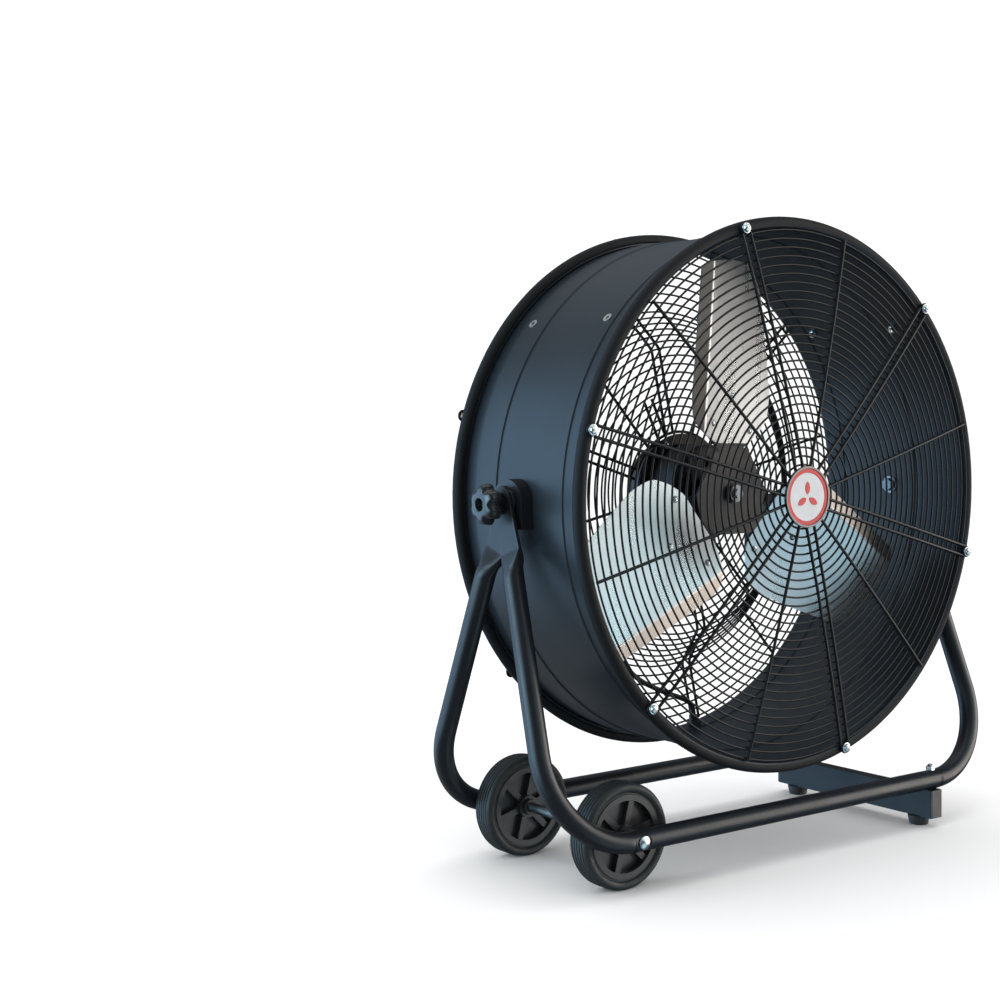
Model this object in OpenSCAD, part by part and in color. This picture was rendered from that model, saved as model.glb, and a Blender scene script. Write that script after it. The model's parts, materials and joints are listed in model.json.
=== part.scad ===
// Drum fan on a wheeled tube stand, for moving air in commercial cleaning and drying.
// Millimetres, +Z up, the air leaves towards -Y, the drum tilts about a line along X.
// The origin is on the floor, under the middle of the whole fan.

/* [Drum] */
// Outer radius over the rolled rims
rim_r = 345; // [335:1:348]
// Depth of the barrel from rim to rim
drum_depth = 256; // [236:2:276]
// Radius of the rolled edge
roll_r = 8; // [6:0.5:9]
// Thickness of the sheet steel
sheet = 1.2; // [0.8:0.1:1.6]
// How far the two stiffening bands stand out
band_rise = 1.6; // [0.8:0.1:2.4]
// Height of the tilt axis above the floor
axis_h = 455; // [440:1:500]
// How far the tilt axis lies behind the middle of the barrel
pivot_back = 5; // [0:1:8]

/* [Guards] */
// Diameter of the ring wire
ring_wire = 2.6; // [2:0.1:3]
// Diameter of the spoke wire
spoke_wire = 4; // [3:0.1:4.4]
// How far the front guard's middle stands ahead of its edge
dome = 13; // [8:1:20]
// Distance between neighbouring rings
ring_pitch = 10.7; // [9:0.1:12.5]
// Half the distance between the two wires of a double spoke
pair_half = 6.5; // [5:0.5:8]
// Angle of the first double spoke of the front guard
front_phase = 105; // [95:1:115]
// Angle of the first double spoke of the rear guard
rear_phase = 102; // [95:1:115]
// How far the middle of the rear guard is set in
dish = 44; // [36:1:50]

/* [Impeller] */
// Radius to the blade tips
tip_r = 300; // [280:1:312]
// Pitch of the blades at their middle
blade_pitch = 15; // [10:1:20]
// Thickness of the blade sheet
blade_sheet = 2; // [1.5:0.1:2.5]
// Position of the hub plate along the barrel, from its middle
hub_y = -14; // [-20:1:-8]

/* [Motor] */
// Radius of the motor case
motor_r = 63; // [58:1:64]
// Front of the motor case along the barrel
motor_front = 32; // [28:1:36]
// Back of the motor case along the barrel
motor_back = 119; // [112:1:119]

/* [Stand] */
// Diameter of the tube
tube_d = 25.4; // [22:0.1:26]
// Wall of the tube
tube_wall = 1.5; // [1:0.1:2]
// Half the distance between the two clamped tube ends
pivot_x = 352; // [351:1:356]
// Half the distance between the legs, where they would meet the bottom run
corner_x = 382; // [374:1:390]
// Radius of the two lower bends, at the tube's middle
bend_r = 108; // [90:1:120]
// Half the distance between the front and rear bottom runs
base_half = 131; // [124:1:140]

/* [Wheels] */
// Radius of the tyre
wheel_r = 63.5; // [60:0.5:66]
// Width of the tyre
wheel_w = 32; // [26:1:34]
// Distance of each wheel's middle from the stand's middle
wheel_y = 96; // [92:1:98]
// Distance of the axle from the stand's middle
axle_x = 258; // [250:1:262]

/* [Foot beam] */
// Distance of the beam from the stand's middle
beam_x = 258; // [240:1:264]
// Width of the beam
beam_w = 20; // [18:1:30]
// Height of the beam
beam_h = 38; // [30:1:40]
// Half the distance between the two feet
foot_half = 112; // [90:1:116]

/* [Hidden] */

$fn = 64;
// Radial room of a shaft that turns in its hole, and of a part that is fitted by hand.
run_gap = 0.05;

// Barrel
roll_centre_r = rim_r - roll_r;
roll_centre_y = drum_depth / 2 - roll_r;
shell_r = roll_centre_r - roll_r + 1;
wall_r = shell_r - sheet;
band_half = 21;
band_centre = 65;
hole_y = 72.5;
hole_angle = 49;
hole_r = 4;
hole_spots = [for (a = [90 - hole_angle, 90 + hole_angle]) for (s = [-1, 1]) [a, pivot_back + s * hole_y]];

// Guards
outer_ring_r = roll_centre_r - roll_r - 0.5;
ring_count = 28;
// Sides of a ring wire's section
ring_sides = 10;
dome_r = (outer_ring_r * outer_ring_r + dome * dome) / (2 * dome);
front_edge_y = -drum_depth / 2 - 0.2;
spoke_edge_y = front_edge_y - spoke_wire / 2;
ring_drop = (spoke_wire + ring_wire) / 2 + 0.05;
badge_r = 38;
badge_depth = 4;
badge_back = spoke_edge_y - dome - spoke_wire / 2 - 0.1;
rear_edge_y = drum_depth / 2 + 0.2;
rear_flat_r = 194;
rear_cone_r = 246;
rear_inner_r = 79.6;
// Along the barrel, the rear rings lie at ring_seat behind the dish, and the spokes behind the rings.
ring_seat = (spoke_wire - ring_wire) / 2;
rear_lift = ring_seat + ring_drop;
cone_back = 1.1;
mount_wire_y = rear_edge_y - dish + ring_seat - ring_drop;
loop_wire = spoke_wire - 0.4;
screw_head_r = 6;
screw_shank_r = 2.5;

// Impeller
plate_in_r = 53;
hub_plate = 4;
arm_start = 58;
arm_half = 56;
shaft_r = 7.5;
tail_r = 6;
bolt_r = 3.3;
rivet_r = 2.5;
// The blade's trailing strip is turned back from this distance on.
fold_t = 65;
// The fold leans by this angle from the radius, and crosses its own distance at this radius.
fold_lean = 4.8;
fold_r = 100;
rivet_spots = [[46, 88], [-42, 84], [3, 126]];
blade_angles = [90, 210, 330];

// Motor
case_wall = 2;
plate_half = 2;
plate_y = mount_wire_y;
plate_r = 77;
plate_bolt_r = 70;
plate_phase = 26;
bearing_r = 17.5;
tail_bearing_r = 16;
boss_wall = 4;

// Stand
tube_r = tube_d / 2;
run_z = wheel_r;
drop = axis_h - run_z;
slope = atan(base_half / drop);
leg_drop = drop / cos(slope);
splay = atan((corner_x - pivot_x) / leg_drop);
bend_x = corner_x - bend_r * (1 + sin(splay)) / cos(splay);
strip = 5;
strip_w = 37;
strip_end = 58;
round_start = 91;
pivot_r = 5;

// Wheels, axle and beam
axle_r = 6;
spot_depth = 2;
axle_half = base_half + tube_r - spot_depth;
rim_line_r = 50;
beam_top = run_z - tube_r;
beam_half = base_half + tube_r - 0.7;
beam_wall = 2;
cap_plate = 3;
beam_bolt_r = 3;

// The stand and the drum are placed so that the origin is in the middle of the fan's depth.
axle_head = 4;
front_reach = pivot_back + badge_depth - badge_back;
rear_reach = axle_half + 0.1 + axle_head;
stand_y = (front_reach - rear_reach) / 2;
drum_y = stand_y - pivot_back;

// The lead from the motor to the gland in the barrel's wall, in the drum's own frame.
lead_d = 7;
lead_y = 46;
lead_angle = 225;
lead_points = [
    [-46, 46, -46], [-58, 46, -58], [-74, 50, -74], [-92, 59, -92], [-107, 69, -114],
    [-117, 76, -139], [-121, 78, -165], [-117, 81, -190], [-105, 87, -213], [-86, 94, -234],
    [-62, 98, -252], [-36, 100, -265], [-10, 101, -276], [12, 102, -284], [25, 102.2, -289.5],
    [31.5, 102.2, -294], [35.8, 102.2, -300], [37.7, 102.2, -307], [39.3, 102.2, -320]
];
gland_angle = -83;
gland_y = 102.2;
gland_r = 6.5;
gland_hex_r = 9.4;

// ---- Helpers ----

module in_drum() {
    translate([0, drum_y, axis_h]) children();
}

// Turns the children about the barrel's axis; the angle is seen from the front, from +X towards +Z.
module at_angle(a) {
    rotate([0, -a, 0]) children();
}

// Revolves a profile whose x is the radius and whose y lies along the barrel's axis.
module turned() {
    rotate([-90, 0, 0]) rotate_extrude() children();
}

// A cylinder along +Y from y0 to y1.
module rod_y(r, y0, y1) {
    translate([0, y0, 0]) rotate([-90, 0, 0]) cylinder(r = r, h = y1 - y0);
}

// A cylinder along +X from x0 to x1.
module rod_x(r, x0, x1) {
    translate([x0, 0, 0]) rotate([0, 90, 0]) cylinder(r = r, h = x1 - x0);
}

module ring_y(r, y, d) {
    translate([0, y, 0]) turned() translate([r, 0]) rotate(180 / ring_sides) circle(d = d, $fn = ring_sides);
}

// A flat ring about the barrel's axis.
module disc_y(r_out, r_in, y0, y1) {
    difference() {
        rod_y(r_out, y0, y1);
        rod_y(r_in, y0 - 1, y1 + 1);
    }
}

// A straight wire between two points of the plane through the barrel's axis; each point is [radius, y].
module wire(a, b, d) {
    run = b - a;
    translate([a[0], a[1], 0]) rotate([0, 0, atan2(run[1], run[0])]) rotate([0, 90, 0])
        cylinder(d = d, h = norm(run));
}

// A pan head screw whose head stands out along -Y from the face at y = 0.
module pan_screw(head_r, shank_r, shank) {
    rotate([90, 0, 0]) {
        intersection() {
            cylinder(r = head_r, h = 4);
            translate([0, 0, 4 - 2 * head_r]) sphere(r = 2 * head_r);
        }
        translate([0, 0, -shank]) cylinder(r = shank_r, h = shank + 1);
    }
}

// ---- Drum ----

// The sheet's middle line seen in section: two wide bands stand out from the barrel.
function band_steps(side) = [
    for (c = side > 0 ? [-band_centre, band_centre] : [band_centre, -band_centre])
        for (s = [-1, 1])
            for (k = s > 0 ? [1, 0] : [0, 1])
                [k * band_rise, c + side * s * (band_half + (1 - k) * 1.5)]
];

module shell_section() {
    end_y = roll_centre_y;
    outer = [for (p = band_steps(1)) [shell_r + p[0], pivot_back + p[1]]];
    inner = [for (p = band_steps(-1)) [wall_r + p[0], pivot_back + p[1]]];
    front_edge = [[wall_r, -end_y], [shell_r, -end_y]];
    rear_edge = [[shell_r, end_y], [wall_r, end_y]];
    polygon(concat(front_edge, outer, rear_edge, inner));
    for (s = [-1, 1])
        translate([roll_centre_r, s * roll_centre_y]) difference() {
            circle(r = roll_r);
            circle(r = roll_r - sheet);
            translate([-6, -s * (roll_r + 1) - 3]) square([4, 6]);
        }
}

module drum_shell() {
    color("#2f3338") in_drum() difference() {
        turned() shell_section();
        for (side = [0, 180]) {
            translate([0, pivot_back, 0]) at_angle(side) rod_x(pivot_r + run_gap, wall_r - 5, shell_r + 5);
        }
        for (h = hole_spots) translate([0, h[1], 0]) at_angle(h[0]) rod_x(hole_r, wall_r - 5, shell_r + 5);
        for (k = [0:5]) {
            at_angle(front_phase + 60 * k) translate([roll_centre_r, 0, 0])
                rod_y(screw_shank_r + run_gap, -drum_depth / 2 - 1, -drum_depth / 2 + 4);
            at_angle(rear_phase + 60 * k) translate([roll_centre_r, 0, 0])
                rod_y(screw_shank_r + run_gap, drum_depth / 2 - 4, drum_depth / 2 + 1);
        }
        translate([0, gland_y, 0]) at_angle(gland_angle) rod_x(gland_r + run_gap, wall_r - 5, shell_r + 5);
    }
}

// Blind rivet nut, set in a hole of a raised band: thin flange outside, squeezed bulge inside.
module rivet_nut() {
    inside = wall_r + band_rise;
    outside = shell_r + band_rise;
    difference() {
        union() {
            rod_x(6, outside + 0.07, outside + 1);
            rod_x(hole_r - run_gap, inside - 7, outside + 0.5);
            rod_x(5.5, inside - 3.5, inside - 0.1);
        }
        rod_x(2.5, inside - 8, outside + 2);
    }
}

module rivet_nuts() {
    color("#b9babc") in_drum() for (h = hole_spots) translate([0, h[1], 0]) at_angle(h[0]) rivet_nut();
}

// Arched spacer block between the barrel and the stand's clamped tube end.
module pivot_boss() {
    block_r = 29;
    block_half = block_r - 0.3;
    block_face = pivot_x - strip - 0.4;
    difference() {
        union() {
            rod_x(block_r, wall_r, block_face);
            translate([wall_r, -block_half, -block_r - 1])
                cube([block_face - wall_r, 2 * block_half, block_r]);
        }
        rod_y(shell_r + 0.1, -block_r - 1, block_r + 1, $fn = 256);
        rod_x(pivot_r + run_gap, wall_r - 1, pivot_x);
    }
}

module pivot_bosses() {
    color("#17181a") in_drum() translate([0, pivot_back, 0]) {
        pivot_boss();
        mirror([1, 0, 0]) pivot_boss();
    }
}

module pivot_bolt() {
    translate([wall_r - 8.6, 0, 0]) rotate([0, 90, 0]) cylinder(r = 9, h = 6.5, $fn = 6);
    rod_x(12, wall_r - 2.1, wall_r - 0.6);
    rod_x(pivot_r, wall_r - 3, pivot_x + 26);
}

module pivot_bolts() {
    color("#9a9ca0") in_drum() translate([0, pivot_back, 0]) {
        pivot_bolt();
        mirror([1, 0, 0]) pivot_bolt();
    }
}

// ---- Guards ----

// Depth of the front guard's spokes at a radius: a shallow spherical dome.
function dome_y(r) = spoke_edge_y - (sqrt(dome_r * dome_r - r * r) - (dome_r - dome));

module front_guard_rings() {
    color("#141517") in_drum() for (i = [0:ring_count - 1]) {
        r = outer_ring_r - i * ring_pitch;
        ring_y(r, dome_y(r) + ring_drop, ring_wire);
    }
}

// A spoke that follows the dome between two radii, as one arc.
module dome_spoke(r0, r1) {
    a0 = asin(r0 / dome_r);
    a1 = asin(r1 / dome_r);
    translate([0, spoke_edge_y - dome + dome_r, 0]) rotate([0, 0, a0 - 90])
        rotate_extrude(angle = a1 - a0) translate([dome_r, 0]) circle(d = spoke_wire);
}

module front_guard_spokes() {
    color("#141517") in_drum() for (k = [0:5]) {
        at_angle(front_phase + 60 * k) {
            for (s = [-1, 1])
                translate([0, 0, s * (pair_half + 0.1)]) dome_spoke(22, outer_ring_r + 3);
            screw_loop(spoke_edge_y);
        }
        at_angle(front_phase + 60 * k + 30) dome_spoke(22, outer_ring_r + 3);
    }
}

// A screw and its washer; the washer's back face is at y = 0.
module guard_screw(shank) {
    translate([0, -1.2, 0]) {
        pan_screw(screw_head_r, screw_shank_r, shank);
        rod_y(screw_head_r + 2, 0, 1.2);
    }
}

module front_guard_screws() {
    seat = spoke_edge_y - loop_wire / 2 - 0.25;
    color("#b9babc") in_drum() for (k = [0:5])
        at_angle(front_phase + 60 * k) translate([roll_centre_r, seat, 0]) guard_screw(10);
}

module badge_bezel() {
    color("#141517") in_drum() {
        translate([0, badge_back, 0]) mirror([0, 1, 0]) difference() {
            rod_y(badge_r, 0, badge_depth);
            rod_y(badge_r - 3, 1.2, badge_depth + 1);
        }
    }
}

module badge_ring() {
    color("#b3181c") in_drum() translate([0, badge_back, 0]) mirror([0, 1, 0])
        disc_y(badge_r - 3.1, badge_r - 8, 1.25, 3);
}

module badge_face() {
    color("#d4d6d8") in_drum() translate([0, badge_back, 0]) mirror([0, 1, 0])
        rod_y(badge_r - 8.1, 1.25, 2.6);
}

// A plain three-vaned sign for moving air.
module badge_mark() {
    color("#b3181c") in_drum() translate([0, badge_back, 0]) mirror([0, 1, 0])
        for (a = [90, 210, 330])
            at_angle(a) translate([11, 2.65, 0]) rotate([-90, 0, 0]) linear_extrude(0.8)
                intersection() {
                    translate([0, -6]) circle(r = 10);
                    translate([0, 6]) circle(r = 10);
                }
}

// Depth of the rear guard's rings at a radius: flat middle, cone, flat edge.
function dish_y(r) =
    r <= rear_flat_r ? rear_edge_y - dish :
    r >= rear_cone_r ? rear_edge_y :
    rear_edge_y - dish * (rear_cone_r - r) / (rear_cone_r - rear_flat_r);

rear_ring_radii = concat(
    [for (i = [1:10]) rear_inner_r + i * 11.4],
    [for (i = [1:6]) rear_flat_r + i * 8],
    [for (i = [0:6]) 255 + i * 12.2]
);

function on_cone(r) = r > rear_flat_r && r < rear_cone_r;

module rear_guard_rings() {
    color("#141517") in_drum() {
        ring_y(rear_inner_r, dish_y(rear_inner_r) + ring_seat + (spoke_wire - ring_wire) / 2, spoke_wire);
        for (r = rear_ring_radii)
            ring_y(r, dish_y(r) + ring_seat - (on_cone(r) ? cone_back : 0), ring_wire);
    }
}

// A spoke in three straight lengths, each along its own part of the dish, just behind the rings.
module rear_spoke() {
    flat = rear_edge_y - dish + rear_lift;
    edge = rear_edge_y + rear_lift;
    wire([rear_inner_r + spoke_wire / 2 + 0.05, flat], [rear_flat_r, flat], spoke_wire);
    wire([rear_flat_r + 0.4, flat + 0.4], [rear_cone_r - 0.4, edge - 0.4], spoke_wire);
    wire([rear_cone_r, edge], [outer_ring_r + 3, edge], spoke_wire);
}

// A loop of wire round a screw, at the end of a double spoke.
module screw_loop(y) {
    translate([roll_centre_r, y, 0]) rotate([90, 0, 0]) rotate_extrude()
        translate([pair_half - 0.5, 0]) circle(d = loop_wire);
}

module rear_guard_spokes() {
    color("#141517") in_drum() {
        for (k = [0:5]) {
            at_angle(rear_phase + 60 * k) {
                for (s = [-1, 1]) translate([0, 0, s * (pair_half + 0.1)]) rear_spoke();
                screw_loop(rear_edge_y + rear_lift);
            }
            at_angle(rear_phase + 60 * k + 30) rear_spoke();
        }
        for (k = [0:3])
            at_angle(plate_phase + 90 * k) for (s = [-1, 1])
                translate([0, 0, s * (pair_half + 0.1)])
                    wire([plate_r + 0.6, mount_wire_y], [134, mount_wire_y], spoke_wire);
    }
}

module rear_guard_screws() {
    seat = rear_edge_y + rear_lift + loop_wire / 2 + 0.25;
    color("#b9babc") in_drum() mirror([0, 1, 0]) for (k = [0:5])
        at_angle(rear_phase + 60 * k) translate([roll_centre_r, -seat, 0]) guard_screw(12);
}

// A short perforated strap across the first rings of the cone, slanting outwards along its length.
module guard_strap() {
    strap_l = 52;
    cone_slope = atan(dish / (rear_cone_r - rear_flat_r));
    lead_off = (ring_wire / 2 + 1.2) / cos(cone_slope);
    color("#26221f") in_drum() at_angle(-55)
        translate([rear_flat_r + 7, dish_y(rear_flat_r + 7) + ring_seat - cone_back - lead_off, 0])
            rotate([0, 0, cone_slope]) rotate([0, 20, 0]) difference() {
                translate([-4, -1, -strap_l / 2]) cube([8, 2, strap_l]);
                for (i = [-2:2]) translate([0, 0, i * 9]) rod_y(1.6, -2, 2);
            }
}

// ---- Motor ----

module motor_mount_plate() {
    color("#1b1c1e") in_drum() difference() {
        rod_y(plate_r, plate_y - plate_half, plate_y + plate_half);
        rod_y(motor_r + 0.1, plate_y - 3, plate_y + 3);
        for (k = [0:3]) at_angle(plate_phase + 90 * k) translate([plate_bolt_r, 0, 0])
            rod_y(2.5 + run_gap, plate_y - 3, plate_y + 3);
    }
}

module motor_mount_bolts() {
    color("#8f9194") in_drum() for (k = [0:3])
        at_angle(plate_phase + 90 * k) translate([plate_bolt_r, 0, 0]) {
            translate([0, plate_y - plate_half - 0.1, 0]) pan_screw(4.2, 2.5, 12);
            translate([0, plate_y + plate_half + 0.2, 0]) rotate([-90, 0, 0])
                cylinder(r = 4.6, h = 4, $fn = 6);
        }
}

module motor_case() {
    color("#17181a") in_drum() difference() {
        disc_y(motor_r, motor_r - case_wall, motor_front, motor_back - 4.1);
        at_angle(lead_angle) translate([0, lead_y, 0]) rod_x(5 + run_gap, motor_r - 10, motor_r + 5);
    }
}

module motor_front_bell() {
    bearing_front = motor_front - 4;
    color("#202124") in_drum() difference() {
        union() {
            rod_y(motor_r - case_wall - 0.1, motor_front, motor_front + 4);
            rod_y(bearing_r + boss_wall, motor_front - 8, motor_front + 8);
        }
        rod_y(bearing_r + run_gap, bearing_front, motor_front + 9);
        rod_y(shaft_r + 2, motor_front - 9, motor_front);
        for (k = [0:5]) at_angle(60 * k + 30) translate([40, 0, 0])
            rod_y(7, motor_front - 1, motor_front + 5);
    }
}

module motor_rear_cap() {
    color("#202124") in_drum() difference() {
        union() {
            rod_y(motor_r + 2, motor_back - 4, motor_back);
            rod_y(tail_bearing_r + boss_wall, motor_back - 18, motor_back - 3);
        }
        rod_y(tail_bearing_r + run_gap, motor_back - 19, motor_back - 6);
        translate([0, 0, 36]) rod_y(4, motor_back - 5, motor_back + 1);
    }
}

module front_bearing() {
    color("silver") in_drum() disc_y(bearing_r, shaft_r + run_gap, motor_front - 3.9, motor_front + 7);
}

module rear_bearing() {
    color("silver") in_drum() disc_y(tail_bearing_r, tail_r + run_gap, motor_back - 17, motor_back - 7);
}

module stator_core() {
    color("#6d6f73") in_drum() disc_y(motor_r - case_wall - 0.1, 32, motor_front + 20, motor_front + 60);
}

module stator_windings() {
    color("#a5622b") in_drum() {
        disc_y(56, 36, motor_front + 11, motor_front + 19.9);
        disc_y(56, 36, motor_front + 60.1, motor_front + 69);
    }
}

module run_capacitor() {
    color("#d8d8d2") in_drum() translate([-17, motor_front + 70, -52]) cube([34, 12, 26]);
}

module speed_switch() {
    color("#111111") in_drum() difference() {
        translate([-12, motor_front + 71, 25]) cube([24, 11.9, 22]);
        translate([0, 0, 36]) rod_y(2.5 + run_gap, motor_front + 73, motor_back);
    }
}

// Points around the lead: each ring lies square to the run between its two neighbours.
function unit(v) = v / norm(v);
function run_at(p, i) = unit(p[min(i + 1, len(p) - 1)] - p[max(i - 1, 0)]);
function lead_ring(p, i, r, n) =
    let (d = run_at(p, i), u = unit(cross(d, [0, 1, 0.2])), v = cross(d, u))
    [for (k = [0:n - 1]) p[i] + r * (cos(360 * k / n) * u + sin(360 * k / n) * v)];

module swept(p, r, n = 10) {
    rings = len(p);
    points = [for (i = [0:rings - 1]) each lead_ring(p, i, r, n)];
    sides = [for (i = [0:rings - 2]) for (k = [0:n - 1])
        [i * n + k, i * n + (k + 1) % n, (i + 1) * n + (k + 1) % n, (i + 1) * n + k]];
    ends = [[for (k = [n - 1:-1:0]) k], [for (k = [0:n - 1]) (rings - 1) * n + k]];
    polyhedron(points = points, faces = concat(sides, ends), convexity = 6);
}

module motor_lead() {
    color("#0e0f10") in_drum() swept(lead_points, lead_d / 2);
}

// Sleeve that grips the lead where it leaves the motor case.
module lead_sleeve() {
    color("#0e0f10") in_drum() at_angle(lead_angle) translate([0, lead_y, 0]) difference() {
        union() {
            rod_x(5, motor_r - case_wall, motor_r + 1);
            rod_x(7, motor_r + 0.3, motor_r + 14);
        }
        rod_x(lead_d / 2 + 0.2, motor_r + 1.9, motor_r + 15);
    }
}

module lead_gland() {
    bore_r = lead_d / 2 + 0.6;
    color("#0e0f10") in_drum() translate([0, gland_y, 0]) at_angle(gland_angle) difference() {
        union() {
            rod_x(gland_r, shell_r - 16, shell_r + 9);
            translate([shell_r + 0.3, 0, 0]) rotate([0, 90, 0]) cylinder(r = gland_hex_r, h = 5, $fn = 6);
            translate([wall_r - 6.5, 0, 0]) rotate([0, 90, 0]) cylinder(r = gland_hex_r, h = 6, $fn = 6);
        }
        rod_x(bore_r, shell_r - 17, shell_r - 2);
    }
}

// Nylon ties around the lead where it passes close in front of the guard's rings.
module lead_ties() {
    color("#0e0f10") in_drum() for (i = [6, 12]) {
        along = run_at(lead_points, i);
        translate(lead_points[i]) rotate([0, acos(along[2]), atan2(along[1], along[0])]) difference() {
            cylinder(r = lead_d / 2 + 1.8, h = 4, center = true);
            cylinder(r = lead_d / 2 + 0.2, h = 5, center = true);
        }
    }
}

// ---- Impeller ----

module motor_shaft() {
    color("silver") in_drum() difference() {
        union() {
            rod_y(shaft_r, hub_y - 8, motor_front + 66);
            rod_y(tail_r, motor_front + 66, motor_back - 7);
        }
        rod_y(bolt_r + run_gap, hub_y - 9, hub_y + 14);
    }
}

module rotor_core() {
    color("#55575b") in_drum() disc_y(31.5, shaft_r, motor_front + 20, motor_front + 60);
}

// Height of the blade's section ahead of the hub plane at a distance t from the blade's middle line:
// the blade is gently curved, and its trailing edge is turned back.
function camber(t) =
    t <= fold_t ? t * tan(blade_pitch) + 0.0006 * t * t - 0.16 :
    camber(fold_t) - (t - fold_t) * 0.09;

// A strip of sheet in section, with its back face at the given distance from the camber line.
module camber_section(t0, t1, back, thick, steps) {
    curved_end = min(t1, fold_t);
    curve = [for (i = [0:steps]) t0 + (curved_end - t0) * i / steps];
    ts = t1 > fold_t ? concat(curve, [t1]) : curve;
    polygon(concat(
        [for (t = ts) [t, camber(t) - back + thick]],
        [for (i = [len(ts) - 1:-1:0]) [ts[i], camber(ts[i]) - back]]
    ));
}

// Turns the blade's own frame to the lean of its fold.
module leaned() {
    translate([0, 0, fold_r]) rotate([0, fold_lean, 0]) translate([0, 0, -fold_r]) children();
}

// Puts a section of the blade's own frame, t to the left and the height ahead, along the leaning radius.
module along_radius(r0, r1) {
    leaned() multmatrix([[-1, 0, 0, 0], [0, -1, 0, hub_y], [0, 0, 1, r0], [0, 0, 0, 1]])
        linear_extrude(r1 - r0) children();
}

// An outline in the blade's own frame, extruded through the blade's depth.
module through_depth() {
    multmatrix([[-1, 0, 0, 0], [0, 0, -1, hub_y + 60], [0, 1, 0, 0], [0, 0, 0, 1]])
        linear_extrude(120) children();
}

// Outline of a blade: t across, radius upwards, with a swept and rounded leading edge.
module blade_outline() {
    intersection() {
        circle(r = tip_r, $fn = 120);
        offset(r = 14, $fn = 40) offset(delta = -14)
            polygon([
                [-38, 64], [38, 66], [66, 78], [84, 96], [85, 125], [66, 310],
                [-40, 310], [-62, 262], [-76, 190], [-85, 128], [-80, 94], [-60, 76]
            ]);
    }
}

module blade(a) {
    color("#b4b9bd") in_drum() at_angle(a - 90) difference() {
        intersection() {
            along_radius(50, tip_r + 10) camber_section(-96, 96, 0, blade_sheet, 18);
            through_depth() blade_outline();
        }
        rivet_holes();
    }
}

module blade_1() { blade(blade_angles[0]); }
module blade_2() { blade(blade_angles[1]); }
module blade_3() { blade(blade_angles[2]); }

module rivet_holes() {
    leaned() for (s = rivet_spots)
        translate([-s[0], hub_y - camber(s[0]), s[1]]) rotate([0, 0, blade_pitch])
            rod_y(rivet_r + run_gap, -9, 9);
}

module blade_rivets() {
    color("#8d9194") in_drum() for (a = blade_angles)
        at_angle(a - 90) leaned() for (s = rivet_spots)
            translate([-s[0], hub_y - camber(s[0]), s[1]]) rotate([0, 0, blade_pitch]) {
                rod_y(rivet_r, -3, 5.5);
                translate([0, -2.6, 0]) intersection() {
                    rod_y(4.5, -2, 0);
                    translate([0, 4, 0]) sphere(r = 6);
                }
                rod_y(4, 4.3, 5.8);
            }
}

// Outline of one arm, in the blade's own frame.
module arm_outline() {
    offset(r = 8, $fn = 32) offset(delta = -8)
        polygon([
            [-26, 30], [-30, 58], [-arm_half, 76], [-arm_half, 94], [-16, 138],
            [22, 138], [arm_half + 2, 98], [arm_half + 2, 78], [30, 58], [26, 30]
        ]);
}

module hub_spider() {
    color("#1a1b1d") in_drum() difference() {
        union() {
            intersection() {
                translate([0, hub_y - hub_plate / 2, 0]) rotate([-90, 0, 0]) rotate(-90)
                    cylinder(r = 2 * plate_in_r, h = hub_plate, $fn = 3);
                rod_y(arm_start + 4, hub_y - hub_plate, hub_y + hub_plate);
            }
            for (a = blade_angles)
                at_angle(a - 90) intersection() {
                    along_radius(arm_start - 4, 142) camber_section(-68, fold_t, 3.3, 3.2, 12);
                    through_depth() arm_outline();
                }
        }
        rod_y(13, hub_y - 20, hub_y + 20);
        for (a = blade_angles) at_angle(a - 90) rivet_holes();
    }
}

module hub_bushing() {
    color("#2a2b2e") in_drum() difference() {
        union() {
            rod_y(12.95, hub_y - 5, hub_y + 5);
            rod_y(15.8, hub_y + hub_plate / 2 + 0.05, hub_y + 16);
        }
        rod_y(shaft_r, hub_y - 6, hub_y + 17);
    }
}

module hub_bolt() {
    color("#b9babc") in_drum() {
        translate([0, hub_y - 15, 0]) rotate([-90, 0, 0]) cylinder(r = 7, h = 5, $fn = 6);
        rod_y(11, hub_y - 10, hub_y - 8);
        rod_y(bolt_r, hub_y - 11, hub_y + 12);
    }
}

// ---- Stand ----

// Frame of one U of tube: its legs hang from the tilt axis, and its plane slopes by the A-frame's angle.
module u_plane(side) {
    translate([0, stand_y, axis_h]) rotate([side * slope, 0, 0]) children();
}

// The U as a round bar: one bottom run, with a bend and a leg at each end of it.
// A band a hair wider than the bar covers the place where each leg meets its bend.
module u_bar(r) {
    band = 0.05;
    top = [pivot_x + round_start * tan(splay), 0, -round_start];
    centre = [bend_x, 0, bend_r - leg_drop];
    foot = centre + bend_r * [cos(splay), 0, sin(splay)];
    translate([0, 0, -leg_drop]) rod_x(r, -bend_x, bend_x);
    for (m = [0, 1]) mirror([m, 0, 0]) {
        translate(foot) rotate([0, -splay, 0]) {
            cylinder(r = r, h = norm(top - foot));
            translate([0, 0, -1]) cylinder(r = r + band, h = 2);
        }
        translate(centre) rotate([90, 0, 0]) rotate([0, 0, -90])
            rotate_extrude(angle = 90 + splay) translate([bend_r, 0]) circle(r = r);
    }
}

// The flattened top end: a strip round the pivot bolt, blended into the round tube.
module flat_end(side) {
    x0 = side < 0 ? pivot_x : pivot_x - strip;
    rod_x(strip_w / 2, x0, x0 + strip);
    translate([x0, -strip_w / 2, -strip_end]) cube([strip, strip_w, strip_end]);
    hull() {
        translate([x0, -strip_w / 2, -strip_end]) cube([strip, strip_w, 2]);
        translate([pivot_x + round_start * tan(splay), 0, -round_start]) rotate([0, -splay, 0])
            translate([0, 0, -6]) cylinder(r = tube_r + 0.25, h = 6.5, $fn = 64);
    }
}

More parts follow.
